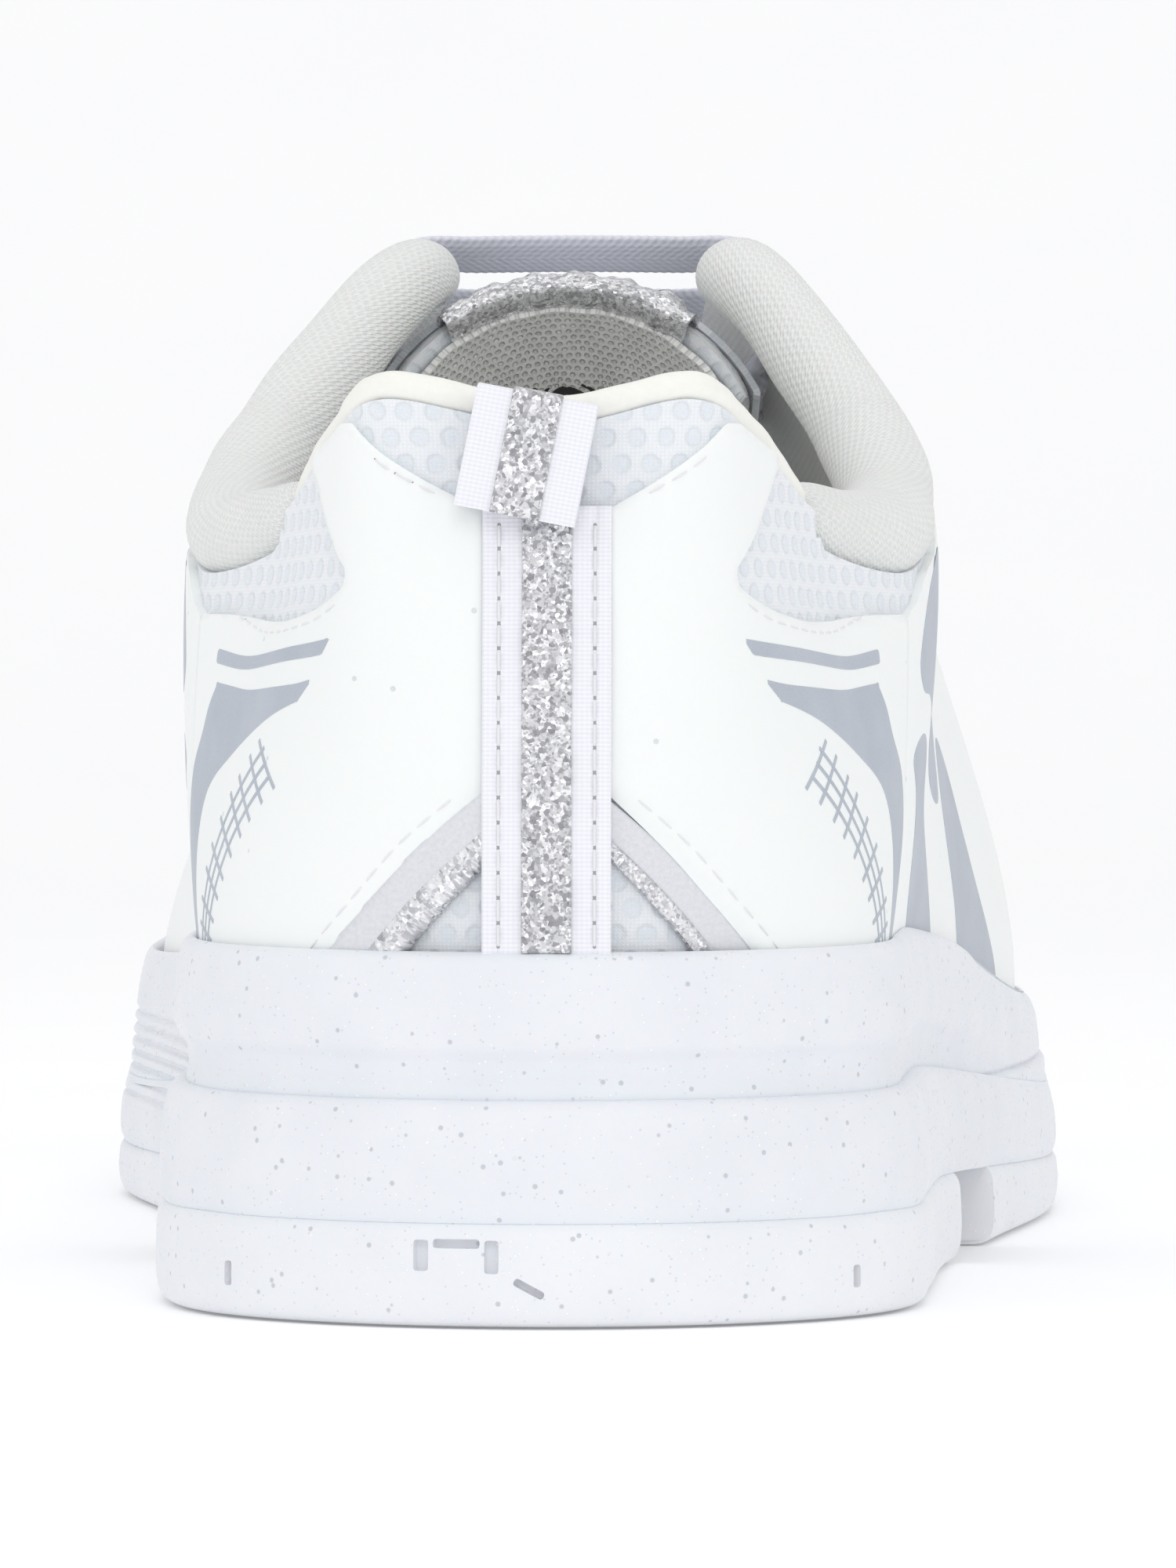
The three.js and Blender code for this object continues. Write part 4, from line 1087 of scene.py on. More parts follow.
nothing = lambda w: np.zeros(np.shape(w))
heelMesh = panelPiece("heelMesh", -heelEnd, heelEnd, nothing, lambda w: stop(w) + 0.012, 0, 1.1, 120, 60)
heelLining = panelPiece("heelLining", -heelEnd, heelEnd, nothing, lambda w: stop(w) + 0.015, middleIn - 0.4,
                        0.8, 110, 60, offAdd=lambda w, q: -pad(w, q))
vampMesh = panelPiece("vampMesh", ridgeStart - 0.003, 2 - ridgeStart + 0.003, nothing,
                      lambda w: nothing(w) + 1, 0, 1.1, 120, 70)
vampLining = panelPiece("vampLining", ridgeStart - 0.003, 2 - ridgeStart + 0.003, nothing,
                        lambda w: nothing(w) + 0.995, middleIn - 0.4, 0.8, 100, 50)
rowPlaces = [mix(0.553, 0.705, row / 5) for row in range(6)]
eyeletQ = 0.885


def eyeletRing(sign, place, radius=2.5):  # a round hole about one eyelet, drawn in the flat plane
    centre = toFlat(np.array([sign * place]), np.array([eyeletQ]))[0]
    across = np.linalg.norm(onUpper(sign * place + 0.01, eyeletQ) - onUpper(sign * place - 0.01, eyeletQ))
    flatAcross = toFlat(np.array([place + 0.01]), 0.5)[0, 0] - toFlat(np.array([place - 0.01]), 0.5)[0, 0]
    turn = np.arange(20) / 20 * 2 * math.pi
    return centre + np.stack([np.cos(turn) * radius * flatAcross / across, np.sin(turn) * radius], -1)


def bandOutline(ws, low, high, sign=1):  # the flat outline of a band between two heights
    ws = np.asarray(ws)
    bottom = toFlat(sign * ws, low(ws))
    top = toFlat(sign * ws, high(ws))
    return np.concatenate([bottom, top[::-1]])


quarterWs = np.linspace(dipStart - 0.003, throatEnd + 0.002, 70)
for sign, side in ((1, "lateral"), (-1, "medial")):
    holes = [eyeletRing(sign, place) for place in rowPlaces]
    outer = bandOutline(quarterWs, nothing, lambda w: np.minimum(stop(w) + 0.085, 0.999), sign)
    mesh = cutPiece("quarterMesh_" + side, [outer] + holes, 1.1, 0, 1.1)
    smoothShade(mesh, 60)
    dress(mesh, spacer, "shoe", ["quarter_mesh_" + side])
    offs = middleIn - 0.4
    lining = panelPiece("quarterLining_" + side, sign * (dipStart - 0.003), sign * throatEnd, nothing,
                        lambda w: np.minimum(stop(w) + 0.04, 0.995), offs, 0.8, 100, 44,
                        offAdd=lambda w, q: -pad(w, q))
    smoothShade(lining, 60)
    dress(lining, liningKnit, "shoe", ["quarter_lining_" + side])
for piece, material, slot, cadNode in (
        (heelMesh, spacer, "spacer_mesh", "heel_mesh"),
        (heelLining, liningKnit, "lining_knit", "heel_lining"),
        (vampMesh, spacer, "spacer_mesh", "vamp_mesh"),
        (vampLining, liningKnit, "lining_knit", "vamp_lining")):
    weld(piece)
    smoothShade(piece, 60)
    dress(piece, material, "shoe", [cadNode])
print("base layers")

# Upper: the overlays, cut from one outline each
overlay = {"off": 0.75, "thick": 0.75, "round": 0.45, "cell": 0.75, "seam": 0.3}
ribbonEdge = 0.028


def heelOverlayOutline(sign):
    top = [(ribbonEdge, 0.822), (0.052, 0.85), (0.075, 0.885), (0.1, 0.943), (0.104, 0.955)]
    horn = [(0.12, 0.968), (0.14, 0.972), (0.16, 0.975), (0.175, 0.975), (0.165, 0.915), (0.148, 0.835),
            (0.128, 0.765)]
    window = [(0.114, 0.722), (0.116, 0.695), (0.135, 0.682), (0.16, 0.682), (0.19, 0.7), (0.222, 0.74),
              (0.25, 0.775), (0.275, 0.8), (overlay["seam"], 0.81)]
    foot = [(overlay["seam"], 0.6), (overlay["seam"], 0.3), (overlay["seam"], 0), (0.25, 0), (0.2, 0),
            (0.146, 0)]
    vee = [(0.118, 0.085), (0.09, 0.17), (0.06, 0.262), (ribbonEdge, 0.365)]
    parts = [smoothLine(toFlat(*(np.array(part, float).T * [[sign], [1]])), 6, closed=False)
             for part in (top, horn, window, foot, vee)]
    return np.concatenate(parts)


def sideOverlayOutline(sign):
    ws = np.linspace(overlay["seam"], throatEnd, 60)
    high = lambda w: np.where(w < 0.53, stop(w) + mix(0.0, 0.075, smooth(w, 0.3, 0.33)),
                              mix(stop(w * 0 + 0.53) + 0.075, 0.66, smooth(w, 0.53, 0.56)))
    return bandOutline(ws, nothing, high, sign)


def eyestayOutline(sign):
    ws = np.linspace(0.533, throatEnd - 0.002, 40)
    return bandOutline(ws, lambda w: 0.7 - 0.05 * smooth(w, 0.7, 0.747), lambda w: nothing(w) + 0.994, sign)


for sign, side in ((1, "lateral"), (-1, "medial")):
    heelOverlay = cutPiece("heelOverlay_" + side, [heelOverlayOutline(sign)], overlay["cell"],
                           overlay["off"] + 0.35,
                           overlay["thick"] + 0.3, overlay["round"])
    sideOverlay = cutPiece("sideOverlay_" + side, [sideOverlayOutline(sign)], 1.2, overlay["off"] + 0.33,
                           overlay["thick"] + 0.3, 0.2)
    stay = cutPiece("eyestay_" + side,
                    [eyestayOutline(sign)] + [eyeletRing(sign, place) for place in rowPlaces],
                    0.8, overlay["off"] + 0.6, overlay["thick"] + 0.3, overlay["round"])
    for piece, cadNode in ((heelOverlay, "heel_overlay_"), (sideOverlay, "side_overlay_"),
                           (stay, "eyestay_")):
        smoothShade(piece, 50)
        dress(piece, leather, "shoe", [cadNode + side])
    vTop = lambda w: mix(0.322, 0, (np.abs(w) - 0.04) / 0.112)
    vMiddle = lambda w: mix(0.256, 0, (np.abs(w) - 0.04) / 0.082)
    vLow = lambda w: mix(0.222, 0, (np.abs(w) - 0.04) / 0.066)
    fromW = sign * ribbonEdge
    strips = [panelPiece("vFilm_" + side, fromW, sign * 0.15, lambda w: np.maximum(vMiddle(w), 0), vTop,
                         0.65, 0.6, 70, 10, 0.2),
              panelPiece("vGlitter_" + side, fromW, sign * 0.126, lambda w: np.maximum(vLow(w), 0), vMiddle,
                         0.85, 0.8, 60, 10, 0.3)]
    smoothShade(strips[0], 50)
    smoothShade(strips[1], 50)
    dress(strips[0], silverFilm, "shoe", [])
    dress(strips[1], veeGlitter, "shoe", ["v_strip_" + side])
toeCap = panelPiece("toeOverlay", ridgeStart - 0.004, 2 - ridgeStart + 0.004, nothing,
                    lambda w: mix(0.3, 0.42, smooth(1 - np.abs(1 - w), 0.8, 1)), 1.15, 1.0, 160, 14, 0.45)
smoothShade(toeCap, 50)
dress(toeCap, leather, "shoe", ["toe_overlay"])
print("overlays")

# Heel ribbon and its glitter stripe
ribbon = {"half": 6.2, "low": 0.095, "high": 0.845, "stripeHalf": 2.4}


def strapPiece(name, half, low, high, off, thick, rolled, columns=28, rows=150, lift=None):
    us = rowsWith(-half, half, columns, 0.05)
    vs = rowsWith(low, high, rows, 0.004)

    def shape(u, v):
        base = onUpper(np.zeros(v.shape), v, 0.0)
        normal = onUpper(np.zeros(v.shape), v, 1.0) - base
        level = v * wallLength(0.0)
        side = np.minimum(half - np.abs(u), np.minimum(v - low, high - v) * wallLength(0.0))
        inside = np.clip(side / rolled, 0, 1)
        offs = off - edgeDrop(rolled, inside)
        if lift is not None:
            offs = offs + lift(u, level)
        place = base + normal * offs[:, None]
        place[:, 0] += u
        return place, np.stack([u, level], -1)

    piece = gridPiece(name, us, vs, shape)
    thicken(piece, thick)
    smoothShade(piece, 50)
    return piece


def ribbonLift(u, level):  # the stitch lines draw the ribbon down a little
    return -0.22 * np.exp(-((np.abs(u) - 4.6) / 0.35) ** 2) + 0.1 * np.sin(level * 0.5) * np.cos(u * 0.3)


heelRibbon = strapPiece("heelRibbon", ribbon["half"], ribbon["low"], ribbon["high"],
                        1.75, 1.1, 0.35, 60, 200, ribbonLift)
dress(heelRibbon, webbing, "shoe", ["heel_ribbon"])
stripe = strapPiece("heelStripe", ribbon["stripeHalf"], ribbon["low"] + 0.004,
                    ribbon["high"] - 0.002, 2.15, 0.5, 0.2,
                    lift=lambda u, level: 0.05 * np.sin(level * 3.1 + u))
dress(stripe, glitter, "shoe", ["heel_ribbon_glitter"])
levels = np.linspace(ribbon["low"] + 0.012, ribbon["high"] - 0.01, 200)
base = onUpper(np.zeros(200), levels, 1.6)
normal = onUpper(np.zeros(200), levels, 2.6) - base
for x in (-4.6, 4.6):
    stitchRow("ribbonStitch" + ("Left" if x < 0 else "Right"), base + [x, 0, 0], normal, 2.4, 0.3, 2.15)
print("ribbon")

# Topline: the bound edge and the padded collar rolls
ws = np.linspace(-heelEnd - 0.002, heelEnd + 0.002, 190)
pipingPath = onUpper(ws, np.ones(ws.shape), -lines["piping"])
rise = onUpper(ws, np.ones(ws.shape)) - onUpper(ws, np.full(ws.shape, 0.96))
taper = np.sqrt(np.maximum(0.05, 1 - np.abs(ws / ws[-1]) ** 12))
waviness = 1 + 0.03 * np.sin(ws * 90) + 0.02 * np.sin(ws * 233)
piping = tubeAlong("pipingEdge", pipingPath, 1.5 * taper * waviness, 20, 0.95, rise)
smoothShade(piping, 60)
dress(piping, cream, "shoe", ["topline_piping"])


def rollShape(sign):  # stuffed tube, flatter where it is sewn down, with soft creases
    ws = np.linspace(dipStart - 0.004, rollEnd + 0.001, 170)
    size = (mix(lines["roll"], 4.1, smooth(ws, 0.4, 0.54))
            * mix(0.85, 1, smooth(ws, dipStart, dipStart + 0.08)))
    path = onUpper(sign * ws, below(sign * ws, 1.0), -size + 1.2)
    up = onUpper(sign * ws, np.ones(ws.shape)) - onUpper(sign * ws, np.full(ws.shape, 0.96))
    t = np.linspace(0, 1, len(ws))
    taper = np.clip(1 - np.abs(2 * t - 1) ** 16, 0, 1) ** 0.5
    crease = (1 + 0.018 * np.sin(ws * 61 + sign) + 0.012 * np.sin(ws * 147 + 2 * sign)
              - 0.02 * np.sin(ws * 29) ** 8)
    return path, up, size * np.maximum(taper, 0.06) * crease * 1.02


for sign, side in ((1, "lateral"), (-1, "medial")):
    path, up, size = rollShape(sign)
    roll = tubeAlong("collarRoll_" + side, path, size, 36, 0.95, up, uvSpin=0.25)
    points = readPoints(roll)
    soft = np.sin(points[:, 1] * 310 + points[:, 2] * 120) * np.sin(points[:, 2] * 260 - points[:, 1] * 90)
    outward = points - np.stack([np.interp(points[:, 1], *(path[np.argsort(path[:, 1])] * mm)[:, [1, k]].T)
                                 for k in range(3)], -1)
    outward /= np.linalg.norm(outward, axis=1, keepdims=True) + 1e-9
    writePoints(roll, points + outward * soft[:, None] * 0.00012)
    smoothShade(roll, 70)
    dress(roll, knit, "shoe", ["collar_roll_" + side])
print("topline")

# Tongue
tongueStops = np.array([(0, 189, 55), (0, 172, 65.5), (0, 150, 79.5), (0, 128, 93), (0, 108, 102.3)], float)
tongueLine = smoothLine(tongueStops - [0, lines["toOrigin"], 0], 60, closed=False)
tongueRun = runOf(tongueLine)
tongueThick = 6.4


def onTongue(t, across, depth):
    at = np.asarray(t) * tongueRun[-1]
    centre = np.stack([np.interp(at, tongueRun, tongueLine[:, k]) for k in range(3)], -1)
    ahead = np.stack([np.interp(np.clip(at + 0.5, 0, tongueRun[-1]), tongueRun,
                                tongueLine[:, k]) for k in range(3)], -1)
    back = np.stack([np.interp(np.clip(at - 0.5, 0, tongueRun[-1]), tongueRun,
                               tongueLine[:, k]) for k in range(3)], -1)
    run = (ahead - back) / np.linalg.norm(ahead - back, axis=-1, keepdims=True)
    up = -np.cross(np.broadcast_to((1.0, 0, 0), run.shape), run)
    radius = mix(14, 22, np.asarray(t))
    angle = across / radius
    depth = np.where(depth > 0, depth * mix(1, 0.42, smooth(np.asarray(t), 0.72, 0.985)), depth)
    reach = radius - depth
    place = centre - up * (radius - reach * np.cos(angle))[:, None]
    place[:, 0] += reach * np.sin(angle)
    return place


def tongueHalf(t):
    return mix(13, 25, smooth(t, 0, 0.8))


def tongueSheet(name, fromT, toT, depth, thick, trim, columns, rows, lift=None, rolled=0.3):
    def shape(u, t):
        half = tongueHalf(t) - trim
        across = u * half
        deep = np.full(t.shape, float(depth))
        side = np.clip((half - np.abs(across)) / rolled, 0, 1)
        deep += np.sign(thick) * edgeDrop(rolled, side)
        if lift is not None:
            deep += lift(across, t)
        return onTongue(t, across, deep), np.stack([across, t * tongueRun[-1]], -1)

    piece = gridPiece(name, rowsWith(-1, 1, columns, 0.02), np.linspace(fromT, toT, rows + 1), shape)
    return piece


def padShape(u, t):  # the tongue's foam and mesh sides: a rounded slab
    turn = u * 2 * math.pi
    half = tongueHalf(t) + 0.2
    power = 0.42
    across = np.sign(np.cos(turn)) * np.abs(np.cos(turn)) ** power * half
    ends = np.clip(np.minimum(t, 0.975 - t) / 0.02, 0.02, 1) ** 0.5
    deep = (tongueThick / 2
            - np.sign(np.sin(turn)) * np.abs(np.sin(turn)) ** power * (tongueThick / 2 - 0.45) * ends)
    fluff = 0.16 * np.sin(across * 2.2 + t * 60) * np.sin(t * 97 + across)
    return onTongue(t, across, deep + fluff), np.stack([u * 2 * (2 * half + 12), t * tongueRun[-1]], -1)


tonguePad = gridPiece("tonguePad", np.linspace(0, 1, 73), np.linspace(0.0, 0.975, 80), padShape)
weld(tonguePad)
capEnds(tonguePad)
smoothShade(tonguePad, 70)
dress(tonguePad, bigSpacer, "tongue", ["tongue_foam"])
face = tongueSheet("tongueFace", 0, 0.955, 0.0, 0.7, 0.6, 50, 80)
thicken(face, 0.7)
smoothShade(face, 60)
dress(face, spacer, "tongue", ["tongue_face"])


def liningLift(across, t):  # quilted lightly by the foam behind it
    return 0.25 * np.sin(across * 0.9) * np.sin(t * 40) * smooth(tongueHalf(t) - np.abs(across), 0, 3)


lining = tongueSheet("tongueLining", 0, 0.965, tongueThick, -0.7, 0.8, 60, 90, liningLift)
flip(lining)
thicken(lining, 0.7)
smoothShade(lining, 60)
dress(lining, tongueKnit, "tongue", ["tongue_lining"])


def bindingShape(u, v):  # glitter binding folded over the top edge, lumpy, with one lapped seam
    half = tongueHalf(0.98) - 10.2
    across = (v * 2 - 1) * half
    turn = (u - 0.5) * 1.56 * math.pi
    swell = 1 + 0.05 * np.sin(across * 1.3) + 0.03 * np.sin(across * 3.1)
    lap = 0.35 * smooth(across, 9.3, 9.9) * (1 - smooth(across, 12.4, 12.8))
    fall = smooth(np.abs(across), half - 2.5, half) * 0.6
    t = 0.972 + 0.03 * np.cos(turn) * swell
    deep = tongueThick / 2 + (tongueThick / 2 + 0.6 + lap - fall) * np.sin(turn) * swell
    return onTongue(t, across, deep), np.stack([across, u * 14], -1)


binding = gridPiece("tongueBinding", np.linspace(0, 1, 33), np.linspace(0, 1, 120), bindingShape)
weld(binding)
thicken(binding, 0.5)
smoothShade(binding, 60)
dress(binding, bindingGlitter, "tongue", ["tongue_binding"])

label = {"t": 0.78, "radius": 8.4}


def discPiece(name, inner, outer, depth, thick, columns=64):  # a flat ring on the tongue's lining
    def shape(u, r):
        turn = u * 2 * math.pi
        t = label["t"] + np.sin(turn) * r / tongueRun[-1]
        across = np.cos(turn) * r
        return onTongue(t, across, depth + liningLift(across, t)), np.stack([across, t * tongueRun[-1]], -1)

    piece = gridPiece(name, np.linspace(0, 1, columns + 1), np.linspace(inner, outer, 8), shape)
    weld(piece)
    thicken(piece, thick)
    return piece


disc = discPiece("tongueLabel", 0.0, label["radius"], tongueThick + 0.6, 0.2)
smoothShade(disc, 40)
dress(disc, labelFilm, "tongue", ["tongue_label"])
for k, (inner, outer) in enumerate(((6.3, 7.6), (4.6, 5.2), (2.4, 3.8), (0.8, 1.4))):
    ring = discPiece("labelRing_" + str(k), inner, outer, tongueThick + 0.8, 0.08)
    dress(ring, labelInk, "tongue")
print("tongue")

# Lace: straight bars outside, climbs from row to row inside
insideOff = -(lines["shell"] + lines["middle"] + lines["lining"] + 3 * lines["gap"]) - 0.95
outsideOff = lines["gap"] + lines["overlay"] + lines["gap"] + 0.6


def laceStops():
    stops = []

    def add(p, n, wide, thick):
        stops.append((np.asarray(p, float).ravel(), np.asarray(n, float).ravel(), wide, thick))

    def spot(w, q, off):
        return onUpper(np.array([w]), np.array([q]), np.array([off]))[0]

    def hole(w, inward):
        run = spot(w, eyeletQ - 0.05, 0) - spot(w, eyeletQ, 0)
        run = run / np.linalg.norm(run) * (-1 if inward else 1)
        offs = [outsideOff - 0.2, 0.2, insideOff + 0.2]
        for off in offs if inward else offs[::-1]:
            add(spot(w, eyeletQ, off), run, 3, 2)

    def inside(w, q):
        add(spot(w, q, insideOff), spot(w, q, 0) - spot(w, q, 1), 4, 1.2)

    def outside(w, q):
        add(spot(w, q, outsideOff + 0.6), spot(w, q, 1) - spot(w, q, 0), 7, 1.2)

    for row in range(5, -1, -1):
        sign = -1 if row % 2 else 1
        w = rowPlaces[row] * sign
        if row == 5:
            inside(w, eyeletQ - 0.24)
            inside(w, eyeletQ - 0.1)
        hole(w, False)
        outside(w, 0.945)
        outside(w, 1.0)
        start, end = spot(w, 1.0, outsideOff + 0.6), spot(-w, 1.0, outsideOff + 0.6)
        for t in (0.2, 0.4, 0.6, 0.8):
            add(mix(start, end, t) + [0, 0, 0.25 * math.sin(t * math.pi)],
                (0, -0.5 if row == 5 else 0.5, 0.86), 7, 1.2)
        outside(-w, 1.0)
        outside(-w, 0.945)
        hole(-w, True)
        following = rowPlaces[row - 1] * -sign if row else -w
        if row:
            for t in (0.35, 0.65):
                inside(mix(-w, following, t), eyeletQ)
        else:
            inside(following, eyeletQ - 0.1)
            inside(following, eyeletQ - 0.24)
    return stops


stops = laceStops()
route = smoothLine([p for p, n, wide, thick in stops], 14, closed=False)
facing = smoothLine([n / np.linalg.norm(n) for p, n, wide, thick in stops], 14, closed=False)
wides = np.repeat([wide for p, n, wide, thick in stops], 14)[:len(route)]
thicks = np.repeat([thick for p, n, wide, thick in stops], 14)[:len(route)]
length = runOf(route)
laceAt = np.arange(0, length[-1], 0.24)
route = np.stack([np.interp(laceAt, length, route[:, k]) for k in range(3)], -1)
facing = np.stack([np.interp(laceAt, length, facing[:, k]) for k in range(3)], -1)
kernel = np.ones(13) / 13
wides = np.convolve(np.pad(np.interp(laceAt, length, wides), 6, mode="edge"), kernel, mode="valid")
thicks = np.convolve(np.pad(np.interp(laceAt, length, thicks), 6, mode="edge"), kernel, mode="valid")
run = np.gradient(route, axis=0)
run /= np.linalg.norm(run, axis=1, keepdims=True)
side = np.cross(facing, run)
side /= np.linalg.norm(side, axis=1, keepdims=True)
up = np.cross(run, side)
ringTurn = np.arange(0, 25) / 24 * 2 * math.pi
scallop = 1 + 0.022 * np.sin(laceAt * 2 * math.pi / 0.95)


def laceShape(u, v):
    i = np.rint(u).astype(int)
    turn = ringTurn[np.rint(v).astype(int)]
    flatX = np.sign(np.cos(turn)) * np.abs(np.cos(turn)) ** 0.5
    flatY = np.sign(np.sin(turn)) * np.abs(np.sin(turn)) ** 0.8
    rib = 1 + 0.12 * np.cos(flatX * 9.4) * (np.abs(flatX) < 0.97)
    across = flatX * wides[i] / 2 * scallop[i]
    place = route[i] + side[i] * across[:, None] + up[i] * (flatY * thicks[i] / 2 * rib)[:, None]
    return place, np.stack([laceAt[i], across], -1)


laceStrip = gridPiece("lace", np.arange(len(laceAt)), np.arange(25), laceShape)
weld(laceStrip)
capEnds(laceStrip)
smoothShade(laceStrip, 60)
dress(laceStrip, braid, "shoe", ["lace"])
print("lace")

# Pull tab: a flattened loop of the ribbon that hangs outside the notch
tab = {"hinge": (-0.9, -27.0, 88.5), "tilt": -8.0, "lean": 11.0, "half": 5.9, "tall": 11.6, "deep": 2.0}
tilt, lean = math.radians(tab["tilt"]), math.radians(tab["lean"])
turnX = np.array([[1, 0, 0], [0, math.cos(tilt), -math.sin(tilt)], [0, math.sin(tilt), math.cos(tilt)]])
turnY = np.array([[math.cos(lean), 0, math.sin(lean)], [0, 1, 0], [-math.sin(lean), 0, math.cos(lean)]])


def tabPlace(x, y, z):
    return np.stack([x, y, z], -1) @ (turnX @ turnY).T + np.array(tab["hinge"])


outDeep, inDeep, tall = -tab["deep"] + 0.15, -0.15, tab["tall"]
loopLine = smoothLine([(inDeep, -tall * 0.9), (inDeep - 0.1, -tall * 0.5), (inDeep - 0.05, -1.2),
                       (-0.5, 0.35), (-1.1, 0.55), (outDeep + 0.1, 0.1), (outDeep - 0.05, -1.6),
                       (outDeep + 0.05, -tall * 0.5), (outDeep - 0.2, -tall * 0.8),
                       (outDeep + 0.1, -tall)], 12, closed=False)
loopRun = runOf(loopLine)
loopOut = np.gradient(loopLine, axis=0)
loopOut = np.stack([loopOut[:, 1], -loopOut[:, 0]], -1) / np.linalg.norm(loopOut, axis=1, keepdims=True)


def loopPiece(name, half, off, begin, to, thick, rolled):
    def shape(u, v):
        at = v * loopRun[-1]
        y, z = (np.interp(at, loopRun, loopLine[:, k]) for k in (0, 1))
        ny, nz = (np.interp(at, loopRun, loopOut[:, k]) for k in (0, 1))
        inside = np.clip((half - np.abs(u)) / rolled, 0, 1)
        offs = off - edgeDrop(rolled, inside)
        return tabPlace(u, y + ny * offs, z + nz * offs), np.stack([u, at], -1)

    piece = gridPiece(name, rowsWith(-half, half, 30, 0.04), np.linspace(begin, to, 120), shape)
    thicken(piece, thick, 1.0)
    weld(piece)
    smoothShade(piece, 60)
    return piece


pullTab = loopPiece("pullTab", tab["half"], 0.0, 0, 1, 0.6, 0.2)
dress(pullTab, webbing, "pull_tab", ["pull_tab"])
tabStripe = loopPiece("pullTabStripe", ribbon["stripeHalf"], 0.3, 0.38, 1.0, 0.3, 0.15)
dress(tabStripe, glitter, "pull_tab", ["pull_tab_glitter"])
print("pull tab")

# Prints on the sides: plain curved bands and a net of fine lines
printOff = {"heel": 1.13, "side": 1.12}
bandShapes = {
    "stripe": [(0.108, 0.604), (0.109, 0.603), (0.14, 0.613), (0.19, 0.642), (0.235, 0.682), (0.266, 0.72),
               (0.267, 0.719), (0.267, 0.69), (0.266, 0.689), (0.236, 0.655), (0.19, 0.617),
               (0.14, 0.588), (0.117, 0.58), (0.116, 0.581)],
    "wing": [(0.125, 0.543), (0.126, 0.544), (0.15, 0.549), (0.19, 0.573), (0.225, 0.605), (0.262, 0.645),
             (0.263, 0.644), (0.27, 0.6), (0.276, 0.54), (0.288, 0.46), (0.296, 0.33), (0.294, 0.2),
             (0.288, 0.08), (0.276, 0.01), (0.27, 0.06), (0.274, 0.2), (0.27, 0.32), (0.257, 0.42),
             (0.225, 0.475), (0.18, 0.503), (0.14, 0.514), (0.139, 0.515)],
}
sideShapes = {
    "lens": [(0.312, 0.72), (0.33, 0.86), (0.37, 0.88), (0.41, 0.72), (0.45, 0.45), (0.47, 0.28),
             (0.43, 0.36), (0.39, 0.5), (0.35, 0.6), (0.322, 0.64)],
    "blade": [(0.31, 0.5), (0.34, 0.53), (0.39, 0.38), (0.44, 0.2), (0.46, 0.03), (0.41, 0.03), (0.37, 0.2),
              (0.33, 0.4)],
    "fin": [(0.47, 0.36), (0.5, 0.3), (0.545, 0.16), (0.58, 0.03), (0.52, 0.03), (0.5, 0.14)],
}
hatch = {"line": [(0.16, 0.45), (0.184, 0.405), (0.208, 0.34), (0.228, 0.25), (0.241, 0.15), (0.248, 0.05)],
         "apart": 1.75, "wide": 0.42, "rungs": 11, "reach": 3.4, "out": 1.2}


outward = {1: 0.8, -1: 2.3}  # the medial prints sit a little further round than the lateral ones


def flatOf(points, sign, down=0.0):
    return toFlat(*(np.array(points, float).T * [[sign], [1]])) + [sign * outward[sign], -down]


def inkStrip(line, wide, off):  # a thin strip of ink along a flat line; gives points, uvs and faces
    run = np.gradient(line, axis=0)
    run /= np.linalg.norm(run, axis=1, keepdims=True)
    across = np.stack([-run[:, 1], run[:, 0]], -1) * wide / 2
    both = np.concatenate([line - across, line + across])
    w, q = fromFlat(both)
    n = len(line)
    faces = [(k, k + 1, n + k + 1, n + k) for k in range(n - 1)]
    return onUpper(w, q, off), both, faces


def stripsPiece(name, inkLines, wide, off):
    points, uvs, faces = [], [], []
    for line in inkLines:
        p, uv, f = inkStrip(line, wide, off)
        faces.extend(tuple(len(points) + k for k in face) for face in f)
        points.extend(p)
        uvs.extend(uv)
    mesh = bpy.data.meshes.new(name)
    mesh.from_pydata([tuple(p * mm) for p in points], [], faces)
    piece = bpy.data.objects.new(name, mesh)
    bpy.context.collection.objects.link(piece)
    writeUv(piece, np.array(uvs) * mm)
    thicken(piece, 0.06, 0)
    return piece


for sign, side in ((1, "lateral"), (-1, "medial")):
    for name, points in bandShapes.items():
        outline = smoothLine(flatOf(points, sign), 8)
        band = cutPiece(name + "Print_" + side, [outline], 0.35, printOff["heel"], 0.05)
        smoothShade(band, 50)
        dress(band, ink, "shoe")
    for name, points in sideShapes.items():
        outline = smoothLine(flatOf(points, sign), 8)
        band = cutPiece(name + "Print_" + side, [outline], 0.7, printOff["side"], 0.05)
        smoothShade(band, 50)
        dress(band, ink, "shoe")
    middle = smoothLine(flatOf(hatch["line"], sign, 1.8) + [sign * hatch["out"], 0], 12, closed=False)
    run = np.gradient(middle, axis=0)
    run /= np.linalg.norm(run, axis=1, keepdims=True)
    across = np.stack([-run[:, 1], run[:, 0]], -1)
    rails = [middle + across * hatch["apart"] * k for k in (-1, 0, 1)]
    rungs = []
    for t in np.linspace(0.03, 0.97, hatch["rungs"]):
        k = int(t * (len(middle) - 1))
        slant = across[k] * hatch["reach"] + run[k] * 0.8 * sign
        rungs.append(np.array([middle[k] + slant * s for s in np.linspace(-1, 1, 9)]))
    net = stripsPiece("net_" + side, rails + rungs, hatch["wide"], printOff["heel"])
    dress(net, ink, "shoe")
print("prints")

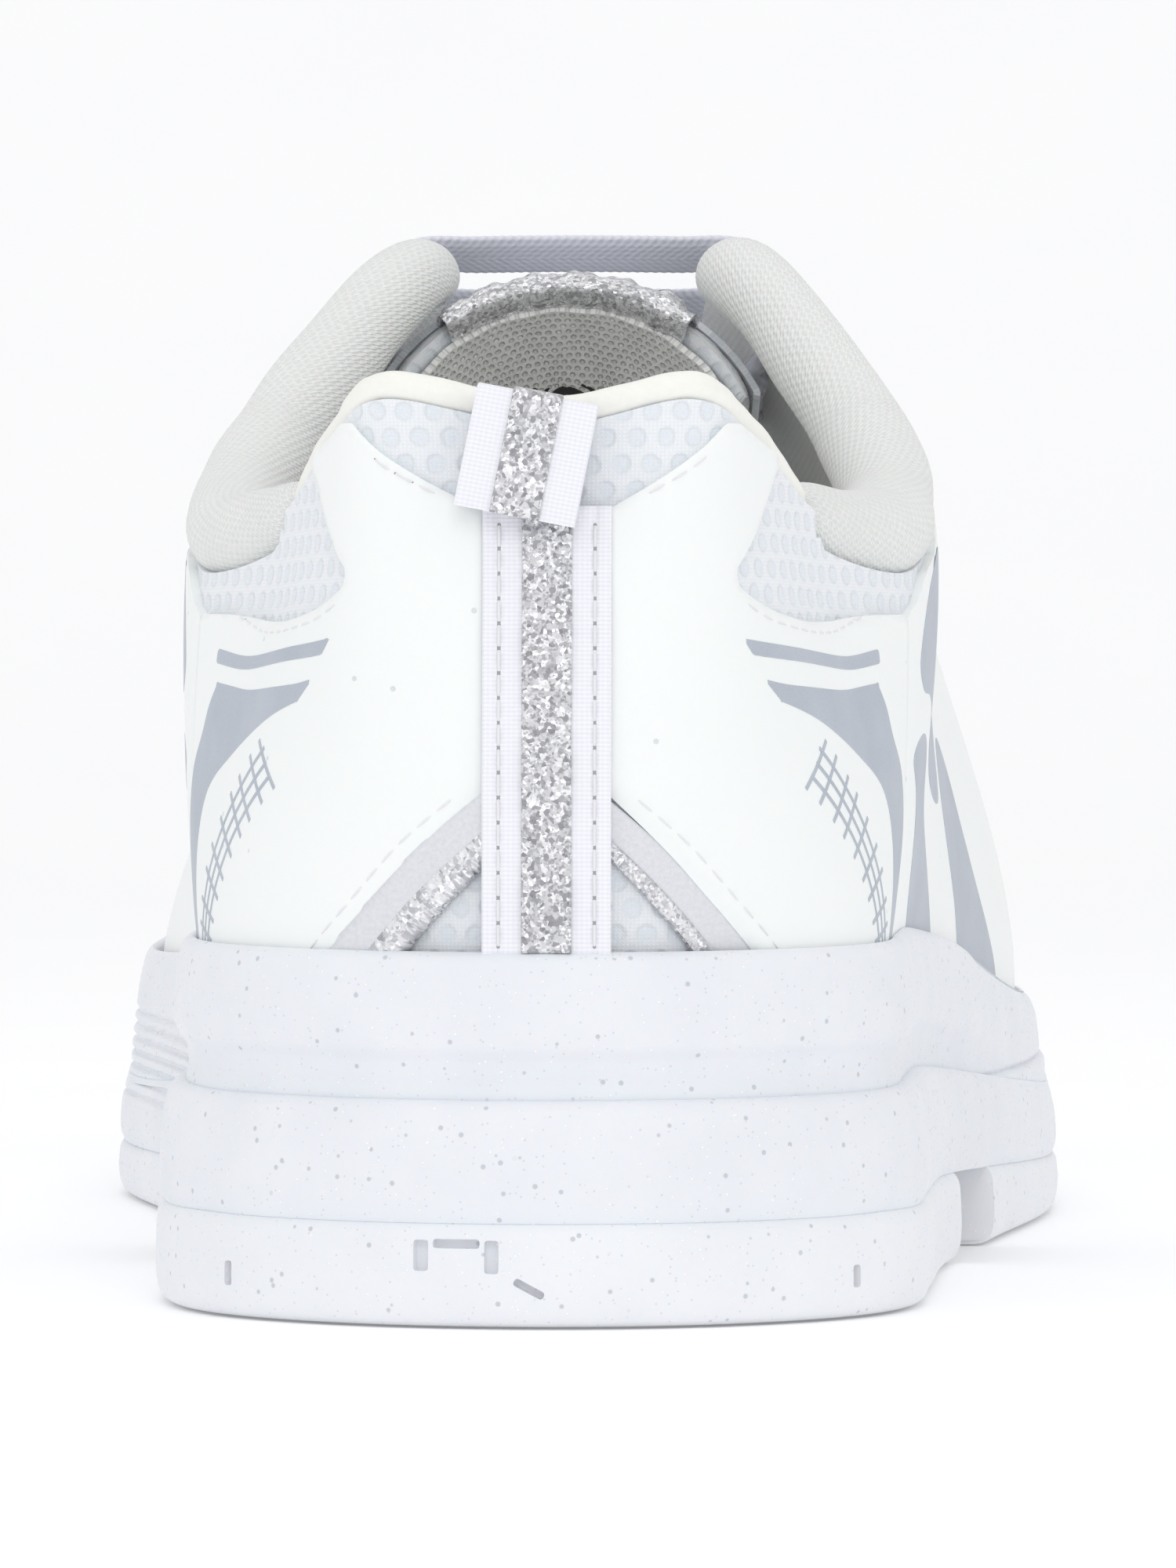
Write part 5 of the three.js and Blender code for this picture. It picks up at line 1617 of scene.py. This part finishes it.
# Seams: stitches along the overlays' edges
seams = {
    "veeTop": [(0.05, 0.835), (0.075, 0.868), (0.097, 0.92)],
    "window": [(0.118, 0.668), (0.14, 0.658), (0.17, 0.665), (0.2, 0.69), (0.23, 0.73), (0.262, 0.79)],
    "veeFoot": [(0.045, 0.345), (0.075, 0.262), (0.11, 0.16), (0.148, 0.045)],
}
for sign, side in ((1, "Lateral"), (-1, "Medial")):
    for name, points in seams.items():
        path, normal = lineOnUpper([(sign * w, q) for w, q in points], overlay["off"] + 0.33)
        stitchRow(name + side, path, normal, 2.5, 0.2, 1.9, sink=0.05)
print("seams")

# The CAD's hidden layers keep their solids, dressed as what they are
for cadNode, material in (("strobel_board", boardFibre), ("heel_counter", stiffener), ("toe_puff", stiffener),
                          ("collar_foam", padFoam), ("aglet_lateral", agletFilm),
                          ("aglet_medial", agletFilm)):
    nodes[cadNode].data.materials.clear()
    nodes[cadNode].data.materials.append(material)

# Studio: a white sweep, soft overhead light and two side panels
bpy.ops.mesh.primitive_grid_add(x_subdivisions=1, y_subdivisions=60, size=2)
floor = bpy.context.object
floor.name = "floor"
points = readPoints(floor)
y = points[:, 1].copy()
points[:, 0] *= 3.0
points[:, 1] = -1.8 + (y + 1) / 2 * 4.6
points[:, 2] = 1.6 * smooth(points[:, 1], 0.9, 2.8) - 0.0002
writePoints(floor, points)
smoothShade(floor, 60)
sweep, tree, shader = newMaterial("paperSweep", {
    "Roughness": 0.9, "Specular IOR Level": 0.1, "Emission Color": (1, 1, 1, 1), "Emission Strength": 0.09})
paper = noise(tree, inMillimetres(tree, "Object"), 0.02, 2.0).outputs["Fac"]
tree.links.new(blendColour(tree, paper, linear("#FCFCFD"), linear("#FFFFFF")), shader.inputs["Base Color"])
floor.data.materials.append(sweep)

studio = {"world": 0.725, "top": 3.65, "left": 1.5, "right": 1.1, "back": 4.5}
world = bpy.data.worlds.new("studio")
world.use_nodes = True
world.node_tree.nodes["Background"].inputs["Color"].default_value = (0.985, 0.99, 1.0, 1)
world.node_tree.nodes["Background"].inputs["Strength"].default_value = studio["world"]
bpy.context.scene.world = world
for name, place, aim, size, power in (
        ("topLight", (0, 0.0, 1.5), (0, 0.05, 0), 1.4, studio["top"]),
        ("leftLight", (-1.2, -0.7, 0.8), (0, 0, 0.05), 0.9, studio["left"]),
        ("rightLight", (1.2, -0.8, 0.7), (0, 0, 0.05), 0.9, studio["right"]),
        ("backLight", (0.1, -1.6, 1.0), (0, 0, 0.05), 0.8, studio["back"])):
    bpy.ops.object.light_add(type="AREA", location=place)
    light = bpy.context.object
    light.name = name
    light.data.shape = "SQUARE"
    light.data.size = size
    light.data.energy = power
    way = np.array(aim) - np.array(place)
    light.rotation_euler = (math.acos(-way[2] / np.linalg.norm(way)), 0,
                            math.atan2(way[1], way[0]) - math.pi / 2)
bpy.context.scene.view_settings.view_transform = "Standard"
print("studio")
